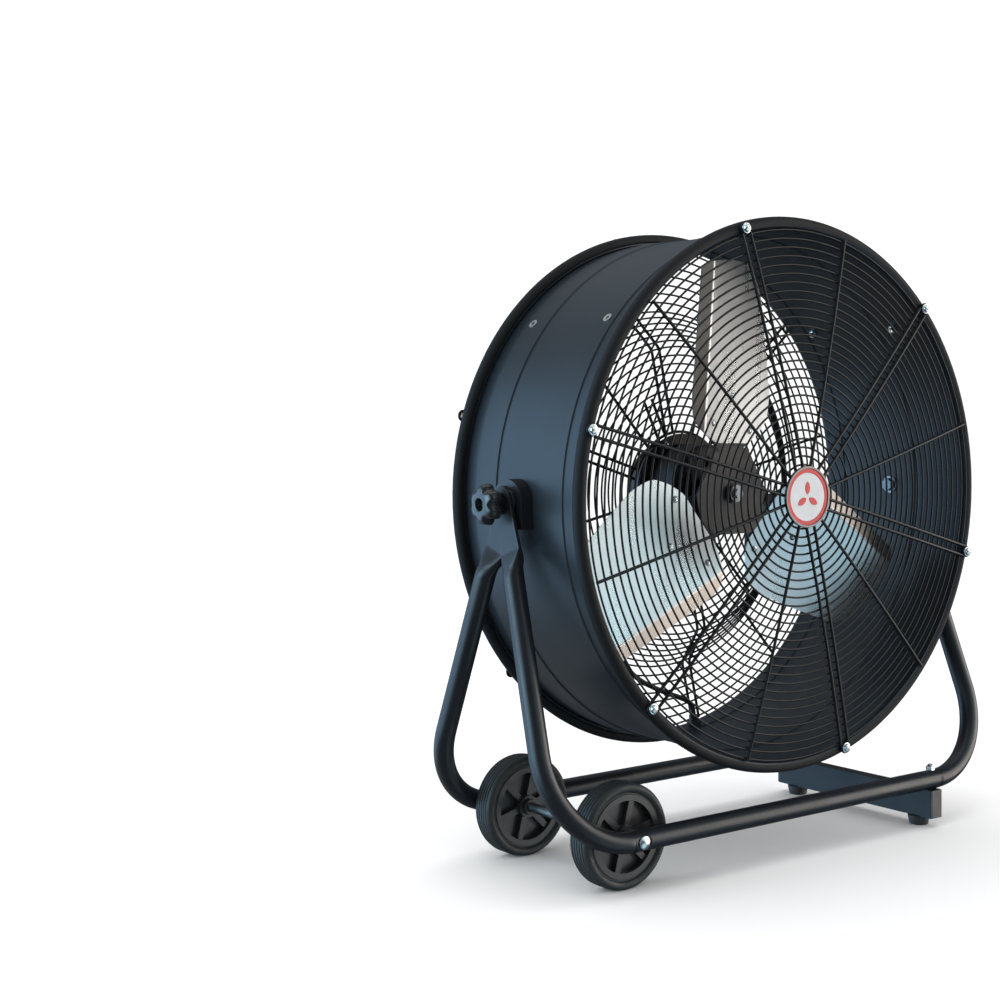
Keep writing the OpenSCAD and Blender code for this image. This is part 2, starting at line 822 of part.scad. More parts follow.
module frame_tube(side) {
    difference() {
        u_plane(side) {
            difference() {
                u_bar(tube_r);
                u_bar(tube_r - tube_wall);
            }
            for (m = [0, 1]) mirror([m, 0, 0]) flat_end(side);
        }
        translate([0, stand_y, axis_h]) rod_x(pivot_r + run_gap, -pivot_x - 20, pivot_x + 20);
        translate([-axle_x, stand_y, run_z]) {
            rod_y(axle_r + run_gap, -base_half - 20, base_half + 20);
            for (s = [-1, 1]) scale([1, s, 1]) rod_y(9, axle_half, axle_half + 20);
        }
        translate([beam_x, stand_y + side * base_half, 0]) cylinder(r = beam_bolt_r + run_gap, h = 120);
    }
}

module front_frame_tube() { color("#23262b") frame_tube(-1); }
module rear_frame_tube() { color("#23262b") frame_tube(1); }

// ---- Foot beam ----

module foot_beam() {
    long = beam_half - cap_plate;
    color("#3b4752") translate([beam_x, stand_y, beam_top - beam_h - 0.05]) difference() {
        translate([-beam_w / 2, -long, 0]) cube([beam_w, 2 * long, beam_h]);
        translate([-beam_w / 2 + beam_wall, -long - 1, beam_wall])
            cube([beam_w - 2 * beam_wall, 2 * long + 2, beam_h - 2 * beam_wall]);
        for (s = [-1, 1]) {
            translate([0, s * base_half, beam_h / 2]) cylinder(r = beam_bolt_r + run_gap, h = beam_h);
            translate([0, s * foot_half, -1]) cylinder(r = 4 + run_gap, h = 4);
        }
    }
}

module beam_end_caps() {
    long = beam_half - cap_plate;
    plug = beam_w - 2 * beam_wall - 0.2;
    color("#101112") translate([beam_x, stand_y, beam_top - beam_h - 0.05]) for (s = [-1, 1])
        scale([1, s, 1]) {
            translate([-beam_w / 2, long + 0.05, 0]) cube([beam_w, cap_plate, beam_h]);
            translate([-plug / 2, long - 4, beam_wall + 0.1])
                cube([plug, 5, beam_h / 2 - beam_wall]);
        }
}

module rubber_feet() {
    foot_h = beam_top - beam_h - 0.1;
    color("#1d1f20") for (s = [-1, 1]) translate([beam_x, stand_y + s * foot_half, 0]) {
        translate([0, 0, 0]) cylinder(r1 = 12.5, r2 = 15, h = foot_h);
        cylinder(r = 4, h = foot_h + 8);
    }
}

module beam_bolts() {
    head_z = beam_top - beam_wall - 4.3;
    color("#9a9ca0") for (s = [-1, 1]) translate([beam_x, stand_y + s * base_half, 0]) {
        translate([0, 0, head_z]) cylinder(r = 5.8, h = 4, $fn = 6);
        translate([0, 0, head_z + 3]) cylinder(r = beam_bolt_r, h = run_z + tube_r + 5 - head_z - 3);
    }
}

module beam_cap_nuts() {
    color("#b9babc") for (s = [-1, 1]) translate([beam_x, stand_y + s * base_half, run_z + tube_r + 0.1])
        difference() {
            union() {
                cylinder(r = 5.8, h = 5, $fn = 6);
                translate([0, 0, 4]) intersection() {
                    sphere(r = 4.6);
                    cylinder(r = 5, h = 6);
                }
            }
            translate([0, 0, -1]) cylinder(r = beam_bolt_r + run_gap, h = 6.5);
        }
}

// ---- Axle and wheels ----

module wheel_axle() {
    color("#7f8a95") translate([-axle_x, stand_y, run_z]) difference() {
        rod_y(axle_r, -axle_half, axle_half);
        for (s = [-1, 1]) scale([1, s, 1]) rod_y(4 + run_gap, axle_half - 22, axle_half + 1);
    }
}

module axle_end_bolts() {
    color("#c2c3c5") translate([-axle_x, stand_y, run_z]) for (s = [-1, 1]) scale([1, -s, 1])
        translate([0, -axle_half - 0.1, 0]) pan_screw(8, 4, 20);
}

module axle_collars() {
    near = wheel_y + wheel_w / 2 + 0.6;
    far = base_half - tube_r - 0.4;
    color("#17181a") translate([-axle_x, stand_y, run_z]) for (s = [-1, 1]) scale([1, s, 1]) {
        disc_y(10, axle_r + run_gap, near, far);
        disc_y(10, axle_r + run_gap, wheel_y - wheel_w / 2 - 5, wheel_y - wheel_w / 2 - 0.6);
    }
}

module at_wheel(s) {
    translate([-axle_x, stand_y + s * wheel_y, run_z]) children();
}

module tyre_section() {
    half = wheel_w / 2;
    shoulder = 6;
    difference() {
        union() {
            translate([rim_line_r, -half + 3]) square([wheel_r - shoulder - rim_line_r, wheel_w - 6]);
            translate([wheel_r - shoulder - 1, -half + shoulder]) square([shoulder + 1, wheel_w - 2 * shoulder]);
            for (s = [-1, 1]) translate([wheel_r - shoulder, s * (half - shoulder)]) circle(r = shoulder);
        }
        for (i = [-2:2]) translate([wheel_r - 1.6, i * 4.6 - 0.7]) square([3, 1.4]);
        translate([rim_line_r - 1, -4]) square([1.2, 8]);
    }
}

module wheel_tyre(s) {
    color("#4b5150") at_wheel(s) turned() tyre_section();
}

// Moulded centre: outer band, hub and web, with six ribs in each face.
module wheel_hub(s) {
    half = wheel_w / 2;
    color("#1e1f22") at_wheel(s) difference() {
        union() {
            disc_y(rim_line_r - 0.1, 43, -half + 2, half - 2);
            rod_y(44, -4, 4);
            rod_y(14, -half + 0.5, half - 0.5);
            for (k = [0:5]) at_angle(60 * k + 15)
                translate([10, -half + 5, -4]) cube([34.5, wheel_w - 10, 8]);
        }
        rod_y(axle_r + run_gap, -half - 1, half + 1);
    }
}

module front_wheel_tyre() { wheel_tyre(-1); }
module rear_wheel_tyre() { wheel_tyre(1); }
module front_wheel_hub() { wheel_hub(-1); }
module rear_wheel_hub() { wheel_hub(1); }

// ---- Knobs ----

knob_r = 25.5;
neck_r = 13;
knob_back = pivot_x + strip + 0.5;
knob_mid = knob_back + 12;
knob_front = knob_mid + 18;

// The knob's grip in section: a disc with a rounded rim.
module grip_section() {
    thick = knob_front - knob_mid;
    round_r = 8;
    arc = [for (a = [0:15:90]) [knob_r - round_r + round_r * cos(a), thick - round_r + round_r * sin(a)]];
    polygon(concat([[0, 0], [knob_r, 0]], arc, [[0, thick]]));
}

module clamp_knob() {
    difference() {
        union() {
            rod_x(neck_r, knob_back, knob_mid + 1);
            translate([knob_mid, 0, 0]) rotate([0, 90, 0]) rotate_extrude() grip_section();
        }
        for (k = [0:5]) rotate([60 * k + 30, 0, 0]) translate([0, knob_r + 6, 0])
            rod_x(10, knob_mid - 1, knob_front + 1);
        rod_x(8, knob_front - 10, knob_front + 5);
        rod_x(8 + run_gap, knob_back - 1, knob_mid + 3);
        rod_x(pivot_r + run_gap, knob_back - 1, knob_front + 1);
    }
}

module knob_insert() {
    difference() {
        rod_x(8, knob_back, knob_mid + 2.9);
        rod_x(pivot_r + run_gap, knob_back - 1, knob_mid + 4);
    }
}

module at_knob(m) {
    translate([0, stand_y, axis_h]) mirror([m, 0, 0]) children();
}

module left_knob() { color("#0f1012") at_knob(1) clamp_knob(); }
module right_knob() { color("#0f1012") at_knob(0) clamp_knob(); }
module left_knob_insert() { color("#b08d4c") at_knob(1) knob_insert(); }
module right_knob_insert() { color("#b08d4c") at_knob(0) knob_insert(); }

module speed_knob() {
    color("#0f1012") in_drum() translate([0, 0, 36]) {
        rod_y(2.5, motor_front + 74, motor_back + 2);
        rod_y(11, motor_back + 0.5, motor_back + 10);
        translate([-2.5, motor_back + 9, -10]) cube([5, 6, 20]);
    }
}

drum_shell();
pivot_bosses();
pivot_bolts();
rivet_nuts();
front_guard_rings();
front_guard_spokes();
front_guard_screws();
badge_bezel();
badge_ring();
badge_face();
badge_mark();
rear_guard_rings();
rear_guard_spokes();
rear_guard_screws();
guard_strap();
motor_mount_plate();
motor_mount_bolts();
motor_case();
motor_front_bell();
motor_rear_cap();
front_bearing();
rear_bearing();
stator_core();
stator_windings();
run_capacitor();
speed_switch();
motor_lead();
lead_sleeve();
lead_gland();
lead_ties();
motor_shaft();
rotor_core();
hub_spider();
hub_bushing();
hub_bolt();
blade_1();
blade_2();
blade_3();
blade_rivets();
front_frame_tube();
rear_frame_tube();
foot_beam();
beam_end_caps();
rubber_feet();
beam_bolts();
beam_cap_nuts();
wheel_axle();
axle_end_bolts();
axle_collars();
front_wheel_tyre();
front_wheel_hub();
rear_wheel_tyre();
rear_wheel_hub();
left_knob();
right_knob();
left_knob_insert();
right_knob_insert();
speed_knob();
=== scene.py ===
"""Looks of a wheeled drum fan: finished meshes, materials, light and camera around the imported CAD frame.

Metres, +Z up, the air leaves towards -Y. Angles about the barrel's axis are seen from the front,
from +X towards +Z, as in the CAD source."""
import json
import math

import bmesh
import bpy
from mathutils import Matrix, Vector


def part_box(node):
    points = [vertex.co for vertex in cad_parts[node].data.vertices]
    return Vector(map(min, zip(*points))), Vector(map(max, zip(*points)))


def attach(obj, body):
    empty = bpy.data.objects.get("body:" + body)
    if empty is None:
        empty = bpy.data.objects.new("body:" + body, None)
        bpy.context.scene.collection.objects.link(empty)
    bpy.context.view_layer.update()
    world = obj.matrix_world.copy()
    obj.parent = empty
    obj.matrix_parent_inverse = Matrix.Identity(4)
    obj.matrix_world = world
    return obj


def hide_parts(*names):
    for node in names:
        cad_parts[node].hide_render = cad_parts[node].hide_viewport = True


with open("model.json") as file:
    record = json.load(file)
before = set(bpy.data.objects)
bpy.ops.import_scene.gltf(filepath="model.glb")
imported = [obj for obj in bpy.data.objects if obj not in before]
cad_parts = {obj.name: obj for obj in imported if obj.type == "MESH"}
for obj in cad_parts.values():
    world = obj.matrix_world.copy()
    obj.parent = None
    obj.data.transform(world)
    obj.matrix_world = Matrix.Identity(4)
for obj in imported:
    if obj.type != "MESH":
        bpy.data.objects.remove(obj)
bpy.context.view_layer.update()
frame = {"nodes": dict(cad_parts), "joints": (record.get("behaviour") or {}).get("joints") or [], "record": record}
JOINTS = {j["name"]: j for j in frame["joints"]}
NODES = frame["nodes"]

# ---- Driving dimensions, the same as the CAD's ----

TILT = Vector(JOINTS["drum_tilt"]["pos_m"])
SPIN = Vector(JOINTS["impeller_spin"]["pos_m"])
WHEEL = Vector(JOINTS["front_wheel_spin"]["pos_m"])
STAND_Y = TILT.y
TUBE_R = 0.0127
PIVOT_X = 0.352
CORNER_X = 0.382
BEND_R = 0.108
BASE_HALF = STAND_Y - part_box("front_frame_tube")[0].y - TUBE_R
# The flattened tube end: thickness, width, and how far below the pivot it ends and the round tube starts.
STRIP = 0.005
STRIP_W = 0.037
STRIP_END = 0.058
ROUND_START = 0.091

DRUM_HALF = 0.128
RIM_CENTRE_R = 0.337
RING_WIRE = 0.0026
SPOKE_WIRE = 0.004
EYE_WIRE = 0.0036
DOME = 0.013
OUTER_RING_R = 0.3285
RING_PITCH = 0.0107
RING_COUNT = 28
PAIR_HALF = 0.0066
FRONT_PHASE = 105
REAR_PHASE = 102
FRONT_SPOKE_Y = -DRUM_HALF - 0.0002 - SPOKE_WIRE / 2
REAR_EDGE_Y = DRUM_HALF + 0.0002
DISH = 0.044
REAR_FLAT_R = 0.194
REAR_CONE_R = 0.246
REAR_INNER_R = 0.0796
REAR_EDGE_R = 0.255
REAR_FLAT_PITCH = 0.0114
REAR_CONE_PITCH = 0.008
REAR_EDGE_PITCH = 0.0122

HUB_Y = -0.014
TIP_R = 0.300
BLADE_PITCH = math.radians(15)
BLADE_SHEET = 0.002
BLADE_ANGLES = (90, 210, 330)
# The fold: distance from the blade's middle line, lean, and the radius where that distance is measured.
FOLD_T = 0.065
FOLD_LEAN = math.radians(4.8)
FOLD_R = 0.100


# ---- Small helpers ----

def smoothstep(u):
    u = min(1.0, max(0.0, u))
    return u * u * (3 - 2 * u)


def lerp(a, b, u):
    return a + (b - a) * u


def in_drum(radius, angle, y):
    """A point at a radius and an angle about the barrel's axis, y along the barrel from its middle."""
    a = math.radians(angle)
    return SPIN + Vector((radius * math.cos(a), y, radius * math.sin(a)))


def circle_points(centre, u, v, radius, count):
    turn = [2 * math.pi * k / count for k in range(count)]
    return [centre + (u * math.cos(a) + v * math.sin(a)) * radius for a in turn]


def skin(bm, rings, close=False, caps=True):
    """Faces between neighbouring closed rings of points; the ends are capped, or the last joins the first."""
    rows = [[bm.verts.new(p) for p in ring] for ring in rings]
    count = len(rows[0])
    pairs = list(zip(rows, rows[1:]))
    if close:
        pairs.append((rows[-1], rows[0]))
    for a, b in pairs:
        for k in range(count):
            n = (k + 1) % count
            bm.faces.new((a[k], a[n], b[n], b[k]))
    if caps and not close:
        bm.faces.new(list(reversed(rows[0])))
        bm.faces.new(rows[-1])
    return rows


def sweep(bm, points, radius, sides, close=False):
    """A round bar of constant radius along a list of points."""
    rings = []
    last = len(points) - 1
    normal = None
    for i, p in enumerate(points):
        ahead = points[(i + 1) % len(points)] if close else points[min(i + 1, last)]
        behind = points[i - 1] if close else points[max(i - 1, 0)]
        run = (ahead - behind).normalized()
        if normal is None:
            helper = Vector((0, 0, 1)) if abs(run.z) < 0.9 else Vector((1, 0, 0))
            normal = run.cross(helper).normalized()
        normal = (normal - run * normal.dot(run)).normalized()
        rings.append(circle_points(p, normal, run.cross(normal), radius, sides))
    skin(bm, rings, close=close)


def revolve(bm, profile, origin, axis, side, count=96, closed_profile=False):
    """Turns (distance along the axis, radius) pairs about an axis; a radius of zero becomes one point."""
    axis = axis.normalized()
    side = side.normalized()
    other = axis.cross(side)
    rows = []
    for along, radius in profile:
        centre = origin + axis * along
        if radius < 1e-7:
            rows.append([bm.verts.new(centre)])
        else:
            rows.append([bm.verts.new(p) for p in circle_points(centre, side, other, radius, count)])
    pairs = list(zip(rows, rows[1:]))
    if closed_profile:
        pairs.append((rows[-1], rows[0]))
    for a, b in pairs:
        for k in range(count):
            n = (k + 1) % count
            if len(a) == 1:
                bm.faces.new((a[0], b[n], b[k]))
            elif len(b) == 1:
                bm.faces.new((a[k], a[n], b[0]))
            else:
                bm.faces.new((a[k], a[n], b[n], b[k]))


def crease_sharp(bm, degrees):
    """Marks the edges that turn by more than an angle, so that shading stays crisp there."""
    limit = math.radians(degrees)
    for edge in bm.edges:
        if len(edge.link_faces) == 2:
            edge.smooth = edge.calc_face_angle(0) < limit


def piece(name, bm, body, paint, slot, *nodes, sharp=40):
    """Makes a finished object from a bmesh, puts it on its body and lets it stand for CAD nodes."""
    bmesh.ops.recalc_face_normals(bm, faces=bm.faces)
    crease_sharp(bm, sharp)
    mesh = bpy.data.meshes.new(name)
    bm.to_mesh(mesh)
    bm.free()
    for face in mesh.polygons:
        face.use_smooth = True
    obj = bpy.data.objects.new(name, mesh)
    bpy.context.scene.collection.objects.link(obj)
    mesh.materials.append(paint)
    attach(obj, body)
    if nodes:
        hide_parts(*nodes)
    return obj


def modifier(obj, kind, **values):
    made = obj.modifiers.new(kind.title(), kind)
    for key, value in values.items():
        setattr(made, key, value)
    return made


# ---- Materials ----

class Paint:
    """A node material in the making: a Principled shader fed by noise in the piece's own coordinates."""

    def __init__(self, name, base, rough, metallic=0.0, specular=0.5, coat=0.0, coat_rough=0.1):
        self.material = bpy.data.materials.new(name)
        self.material.use_nodes = True
        self.tree = self.material.node_tree
        self.shader = self.tree.nodes["Principled BSDF"]
        self.shader.inputs["Base Color"].default_value = (*base, 1)
        self.shader.inputs["Roughness"].default_value = rough
        self.shader.inputs["Metallic"].default_value = metallic
        self.shader.inputs["Specular IOR Level"].default_value = specular
        self.shader.inputs["Coat Weight"].default_value = coat
        self.shader.inputs["Coat Roughness"].default_value = coat_rough
        self.base = base
        self.rough = rough
        self.coords = self.tree.nodes.new("ShaderNodeTexCoord")
        self.bumped = None

    def link(self, a, b):
        self.tree.links.new(a, b)

    def noise(self, scale, stretch=(1, 1, 1), detail=3.0, rough=0.5, turn=(0, 0, 0)):
        mapping = self.tree.nodes.new("ShaderNodeMapping")
        mapping.inputs["Scale"].default_value = stretch
        mapping.inputs["Rotation"].default_value = turn
        self.link(self.coords.outputs["Object"], mapping.inputs["Vector"])
        made = self.tree.nodes.new("ShaderNodeTexNoise")
        made.inputs["Scale"].default_value = scale
        made.inputs["Detail"].default_value = detail
        made.inputs["Roughness"].default_value = rough
        self.link(mapping.outputs["Vector"], made.inputs["Vector"])
        return made.outputs["Fac"]

    def cells(self, scale):
        made = self.tree.nodes.new("ShaderNodeTexVoronoi")
        made.inputs["Scale"].default_value = scale
        self.link(self.coords.outputs["Object"], made.inputs["Vector"])
        return made.outputs["Distance"]

    def off_axis(self, centre):
        """Distance from a line along Y through a point."""
        shift = self.tree.nodes.new("ShaderNodeVectorMath")
        shift.operation = "SUBTRACT"
        shift.inputs[1].default_value = centre
        self.link(self.coords.outputs["Object"], shift.inputs[0])
        flat = self.tree.nodes.new("ShaderNodeVectorMath")
        flat.operation = "MULTIPLY"
        flat.inputs[1].default_value = (1, 0, 1)
        self.link(shift.outputs["Vector"], flat.inputs[0])
        reach = self.tree.nodes.new("ShaderNodeVectorMath")
        reach.operation = "LENGTH"
        self.link(flat.outputs["Vector"], reach.inputs[0])
        return reach.outputs["Value"]

    def spread(self, value, low, high, to_low=0.0, to_high=1.0):
        made = self.tree.nodes.new("ShaderNodeMapRange")
        made.inputs["From Min"].default_value = low
        made.inputs["From Max"].default_value = high
        made.inputs["To Min"].default_value = to_low
        made.inputs["To Max"].default_value = to_high
        self.link(value, made.inputs["Value"])
        return made.outputs["Result"]

    def mottle(self, value, other, low=0.35, high=0.65):
        """Blends the colour so far towards another one where the value is high."""
        mix = self.tree.nodes.new("ShaderNodeMix")
        mix.data_type = "RGBA"
        self.link(self.spread(value, low, high), mix.inputs["Factor"])
        socket = self.shader.inputs["Base Color"]
        if socket.is_linked:
            self.link(socket.links[0].from_socket, mix.inputs["A"])
        else:
            mix.inputs["A"].default_value = socket.default_value
        mix.inputs["B"].default_value = (*other, 1)
        self.link(mix.outputs["Result"], socket)
        return self

    def vary_gloss(self, value, low, high):
        self.link(self.spread(value, 0.3, 0.7, low, high), self.shader.inputs["Roughness"])
        return self

    def along(self, centre, direction):
        """Distance from a point along a direction."""
        shift = self.tree.nodes.new("ShaderNodeVectorMath")
        shift.operation = "SUBTRACT"
        shift.inputs[1].default_value = centre
        self.link(self.coords.outputs["Object"], shift.inputs[0])
        made = self.tree.nodes.new("ShaderNodeVectorMath")
        made.operation = "DOT_PRODUCT"
        made.inputs[1].default_value = direction
        self.link(shift.outputs["Vector"], made.inputs[0])
        return made.outputs["Value"]

    def dull(self, value, low, high, rough):
        """Raises the roughness so far towards another one where the value is high."""
        mix = self.tree.nodes.new("ShaderNodeMix")
        self.link(self.spread(value, low, high), mix.inputs["Factor"])
        socket = self.shader.inputs["Roughness"]
        self.link(socket.links[0].from_socket, mix.inputs["A"])
        mix.inputs["B"].default_value = rough
        self.link(mix.outputs["Result"], socket)
        return self

    def bump(self, value, strength, depth):
        made = self.tree.nodes.new("ShaderNodeBump")
        made.inputs["Strength"].default_value = strength
        made.inputs["Distance"].default_value = depth
        self.link(value, made.inputs["Height"])
        if self.bumped is not None:
            self.link(self.bumped.outputs["Normal"], made.inputs["Normal"])
        self.link(made.outputs["Normal"], self.shader.inputs["Normal"])
        self.bumped = made
        return self


def powder_coat(name, base, light, rough, grain, specular=0.5):
    """Powder coat: a fine orange peel, a slow drift of gloss and a little dust in the colour."""
    paint = Paint(name, base, rough, specular=specular)
    paint.mottle(paint.noise(7, detail=5, rough=0.6), light, 0.35, 0.75)
    paint.mottle(paint.noise(900, detail=1), [c * 1.5 + 0.002 for c in light], 0.66, 0.8)
    paint.vary_gloss(paint.noise(18, detail=4), rough - 0.06, rough + 0.06)
    paint.bump(paint.noise(grain, detail=2), 0.10, 0.0002)
    paint.bump(paint.noise(14, detail=2), 0.08, 0.0012)
    return paint.material


def plated(name, base, rough, grain=260, stretch=(1, 1, 1)):
    """Zinc plate or ground steel, with fine scratches and a slight clouding."""
    paint = Paint(name, base, rough, metallic=1.0)
    paint.mottle(paint.noise(60, detail=4), [c * 0.72 for c in base], 0.4, 0.75)
    paint.vary_gloss(paint.noise(120, detail=3), rough - 0.08, rough + 0.12)
    paint.bump(paint.noise(grain, stretch, detail=3), 0.12, 0.0001)
    return paint.material


def moulded(name, base, rough, grain, depth, coat=0.0, dust=0.15):
    """Moulded plastic or rubber, with a spark-eroded grain and dust in its low places."""
    paint = Paint(name, base, rough, coat=coat, coat_rough=0.08)
    paint.mottle(paint.noise(45, detail=5, rough=0.65), [lerp(c, 0.2, dust) for c in base], 0.5, 0.85)
    paint.vary_gloss(paint.noise(70, detail=3), rough - 0.05, rough + 0.08)
    paint.bump(paint.noise(grain, detail=2), 0.2, depth)
    return paint.material


def drum_paint():
    """Slate powder coat, with painted shade making the rolled rims near-black, and the rims rougher."""
    paint = Paint("slate_powder_coat", (0.009, 0.014, 0.019), 0.36, specular=0.32)
    paint.mottle(paint.noise(5, (1, 1, 0.35), detail=6, rough=0.6), (0.013, 0.020, 0.027), 0.3, 0.75)
    paint.mottle(paint.noise(1100, detail=1), (0.024, 0.032, 0.040), 0.68, 0.84)
    # Painted shade: near-black colour on the rolled rims stands in for the dark surroundings they mirror.
    paint.mottle(paint.off_axis(SPIN), (0.003, 0.003, 0.004), 0.3325, 0.3345)
    paint.vary_gloss(paint.noise(10, (1, 1, 0.3), detail=5), 0.31, 0.41)
    paint.dull(paint.off_axis(SPIN), 0.3325, 0.3345, 0.72)
    paint.bump(paint.noise(1500, detail=2), 0.10, 0.0002)
    paint.bump(paint.noise(9, (1, 1, 0.5), detail=2), 0.12, 0.0025)
    return paint.material


def blade_aluminium(angle, strip):
    """Rolled sheet: faint grain over a slightly clouded satin face, and painted shade and reflection on the strip
    behind the fold.
    """
    turn = math.radians(angle - 90)
    up = Vector((-math.sin(turn), 0, math.cos(turn)))
    left = Vector((-math.cos(turn), 0, -math.sin(turn)))
    leaning = left * math.cos(FOLD_LEAN) + up * math.sin(FOLD_LEAN)
    fold_centre = SPIN + up * FOLD_R
    grain = (0, turn, 0)
    paint = Paint(f"rolled_aluminium_{angle}", (0.80, 0.82, 0.83), 0.28, metallic=0.96)
    paint.mottle(paint.noise(6, detail=3, rough=0.5, turn=grain), (0.76, 0.79, 0.80), 0.35, 0.75)
    paint.mottle(paint.noise(40, (7, 7, 0.3), detail=2, turn=grain), (0.77, 0.80, 0.81), 0.45, 0.8)
    # Painted shade and reflection: the strip behind the fold takes its blade's own shade colour, set for how light
    # falls on that blade.
    paint.mottle(paint.along(fold_centre, leaning), strip, FOLD_T - 0.003, FOLD_T + 0.002)
    paint.vary_gloss(paint.noise(10, (3, 3, 0.5), detail=2, turn=grain), 0.25, 0.31)
    return paint.material


def tyre_rubber():
    paint = Paint("tyre_rubber", (0.010, 0.013, 0.014), 0.52, specular=0.3)
    paint.mottle(paint.noise(38, detail=6, rough=0.7), (0.026, 0.032, 0.032), 0.45, 0.8)
    paint.mottle(paint.cells(420), (0.018, 0.022, 0.023), 0.1, 0.5)
    paint.vary_gloss(paint.noise(55, detail=4), 0.42, 0.64)
    paint.bump(paint.noise(520, detail=3), 0.3, 0.0003)
    return paint.material


def badge_print(name, colour, rough):
    paint = Paint(name, colour, rough, specular=0.35, coat=0.1, coat_rough=0.1)
    paint.mottle(paint.noise(90, detail=4), [c * 0.88 for c in colour], 0.4, 0.8)
    paint.bump(paint.noise(240, detail=2), 0.05, 0.0001)
    return paint.material


def core_sheets():
    """The edges of stacked core sheets."""
    paint = Paint("stacked_core_sheets", (0.30, 0.30, 0.31), 0.42, metallic=1.0)
    paint.mottle(paint.noise(30, (1, 60, 1), detail=1), (0.12, 0.12, 0.125), 0.45, 0.55)
    paint.bump(paint.noise(30, (1, 60, 1), detail=1), 0.4, 0.0004)
    return paint.material


def copper_coils():
    paint = Paint("lacquered_copper_wire", (0.55, 0.20, 0.07), 0.3, metallic=0.9, coat=0.4)
    paint.mottle(paint.noise(40, (1, 22, 1), detail=2), (0.30, 0.10, 0.03), 0.42, 0.6)
    paint.bump(paint.noise(40, (1, 22, 1), detail=2), 0.5, 0.0006)
    return paint.material


PAINTS = {
    "drum_paint": drum_paint(),
    "guard_paint": powder_coat(
        "gloss_black_wire_paint", (0.0045, 0.0045, 0.0055), (0.008, 0.009, 0.010), 0.34, 1400, specular=0.2),
    "frame_paint": powder_coat(
        "satin_black_powder_coat", (0.005, 0.0062, 0.009), (0.008, 0.0105, 0.014), 0.36, 1300, specular=0.40),
    "beam_paint": powder_coat(
        "dark_slate_powder_coat", (0.006, 0.008, 0.010), (0.009, 0.012, 0.014), 0.44, 1200, specular=0.24),
    "bright_zinc": plated("bright_zinc", (0.78, 0.78, 0.76), 0.24),
    "dull_zinc": plated("dull_zinc", (0.24, 0.26, 0.28), 0.42),
    "motor_paint": powder_coat("motor_enamel", (0.0045, 0.0045, 0.006), (0.008, 0.008, 0.010), 0.46, 900),
    "ground_steel": plated("ground_steel", (0.60, 0.60, 0.60), 0.22, 300, (1, 18, 1)),
    "core_steel": core_sheets(),
    "copper": copper_coils(),
    "capacitor_case": moulded("capacitor_case", (0.62, 0.62, 0.58), 0.5, 500, 0.0002),
    "black_plastic": moulded("black_plastic", (0.012, 0.0125, 0.0135), 0.44, 900, 0.0003, dust=0.10),
    "lead_jacket": moulded("lead_jacket", (0.012, 0.012, 0.012), 0.5, 600, 0.0003, dust=0.12),
    "foot_rubber": moulded("foot_rubber", (0.014, 0.014, 0.014), 0.62, 500, 0.0004, dust=0.25),
    "tyre_rubber": tyre_rubber(),
    "knob_plastic": moulded("knob_plastic", (0.006, 0.0065, 0.0075), 0.26, 700, 0.0001, coat=0.3, dust=0.02),
    "insert_brass": plated("turned_brass", (0.66, 0.46, 0.20), 0.28, 300, (18, 1, 1)),
    "badge_black": moulded(
        "badge_bezel_plastic", (0.008, 0.008, 0.009), 0.22, 700, 0.0001, coat=0.5, dust=0.04),
    "badge_red": badge_print("badge_red_print", (0.42, 0.007, 0.012), 0.38),
    "badge_silver": badge_print("badge_silver_print", (0.52, 0.53, 0.55), 0.40),
}
# Painted shade and reflection: the colour of each blade's strip behind the fold, darker or warmer by how the light
# falls on that blade.
BLADE_FOLD_SHADES = {90: (0.11, 0.105, 0.10), 210: (0.38, 0.345, 0.315), 330: (0.30, 0.28, 0.26)}
BLADE_PAINTS = {a: blade_aluminium(a, strip) for a, strip in BLADE_FOLD_SHADES.items()}
WHEEL_PLASTIC = moulded("wheel_hub_plastic", (0.011, 0.0115, 0.013), 0.36, 800, 0.0003, dust=0.10)

NODE_SLOTS = {s["node"]: s["material_slot"] for s in frame["record"]["subparts"]}
NODE_BODIES = {n: b for b, members in frame["record"]["behaviour"]["bodies"].items() for n in members}


def paint_of(node):
    if node in ("blade_1", "blade_2", "blade_3"):
        return BLADE_PAINTS[BLADE_ANGLES[int(node[-1]) - 1]]
    if node.endswith("_wheel_hub"):
        return WHEEL_PLASTIC
    return PAINTS[NODE_SLOTS[node]]


for node_name, node_object in NODES.items():
    node_object.data.materials.clear()
    node_object.data.materials.append(paint_of(node_name))


def finished(node, width, segments=2, angle=28):
    """The CAD node's own shape, welded, with its hard edges rounded as pressing or moulding leaves them."""
    bm = bmesh.new()
    bm.from_mesh(NODES[node].data)
    bmesh.ops.remove_doubles(bm, verts=bm.verts, dist=2e-6)
    bmesh.ops.dissolve_degenerate(bm, edges=bm.edges, dist=1e-6)
    flat = math.radians(0.3)
    bmesh.ops.dissolve_limit(bm, angle_limit=flat, verts=bm.verts, edges=bm.edges)
    limit = math.radians(angle)
    hard = [e for e in bm.edges if len(e.link_faces) == 2 and e.calc_face_angle(0) > limit]
    bmesh.ops.bevel(
        bm, geom=hard, offset=width, offset_type="OFFSET", segments=segments,
        profile=0.5, affect="EDGES", clamp_overlap=True, miter_outer="ARC",
    )
    made = piece(node + "_finished", bm, NODE_BODIES[node], paint_of(node), NODE_SLOTS[node], node)
    modifier(made, "WEIGHTED_NORMAL", keep_sharp=True, weight=60)


# ---- Guards ----

def dome_y(r):
    """Depth of the front guard's spokes at a radius: a shallow spherical dome."""
    dome_r = (OUTER_RING_R ** 2 + DOME ** 2) / (2 * DOME)
    return FRONT_SPOKE_Y - (math.sqrt(dome_r ** 2 - r * r) - (dome_r - DOME))


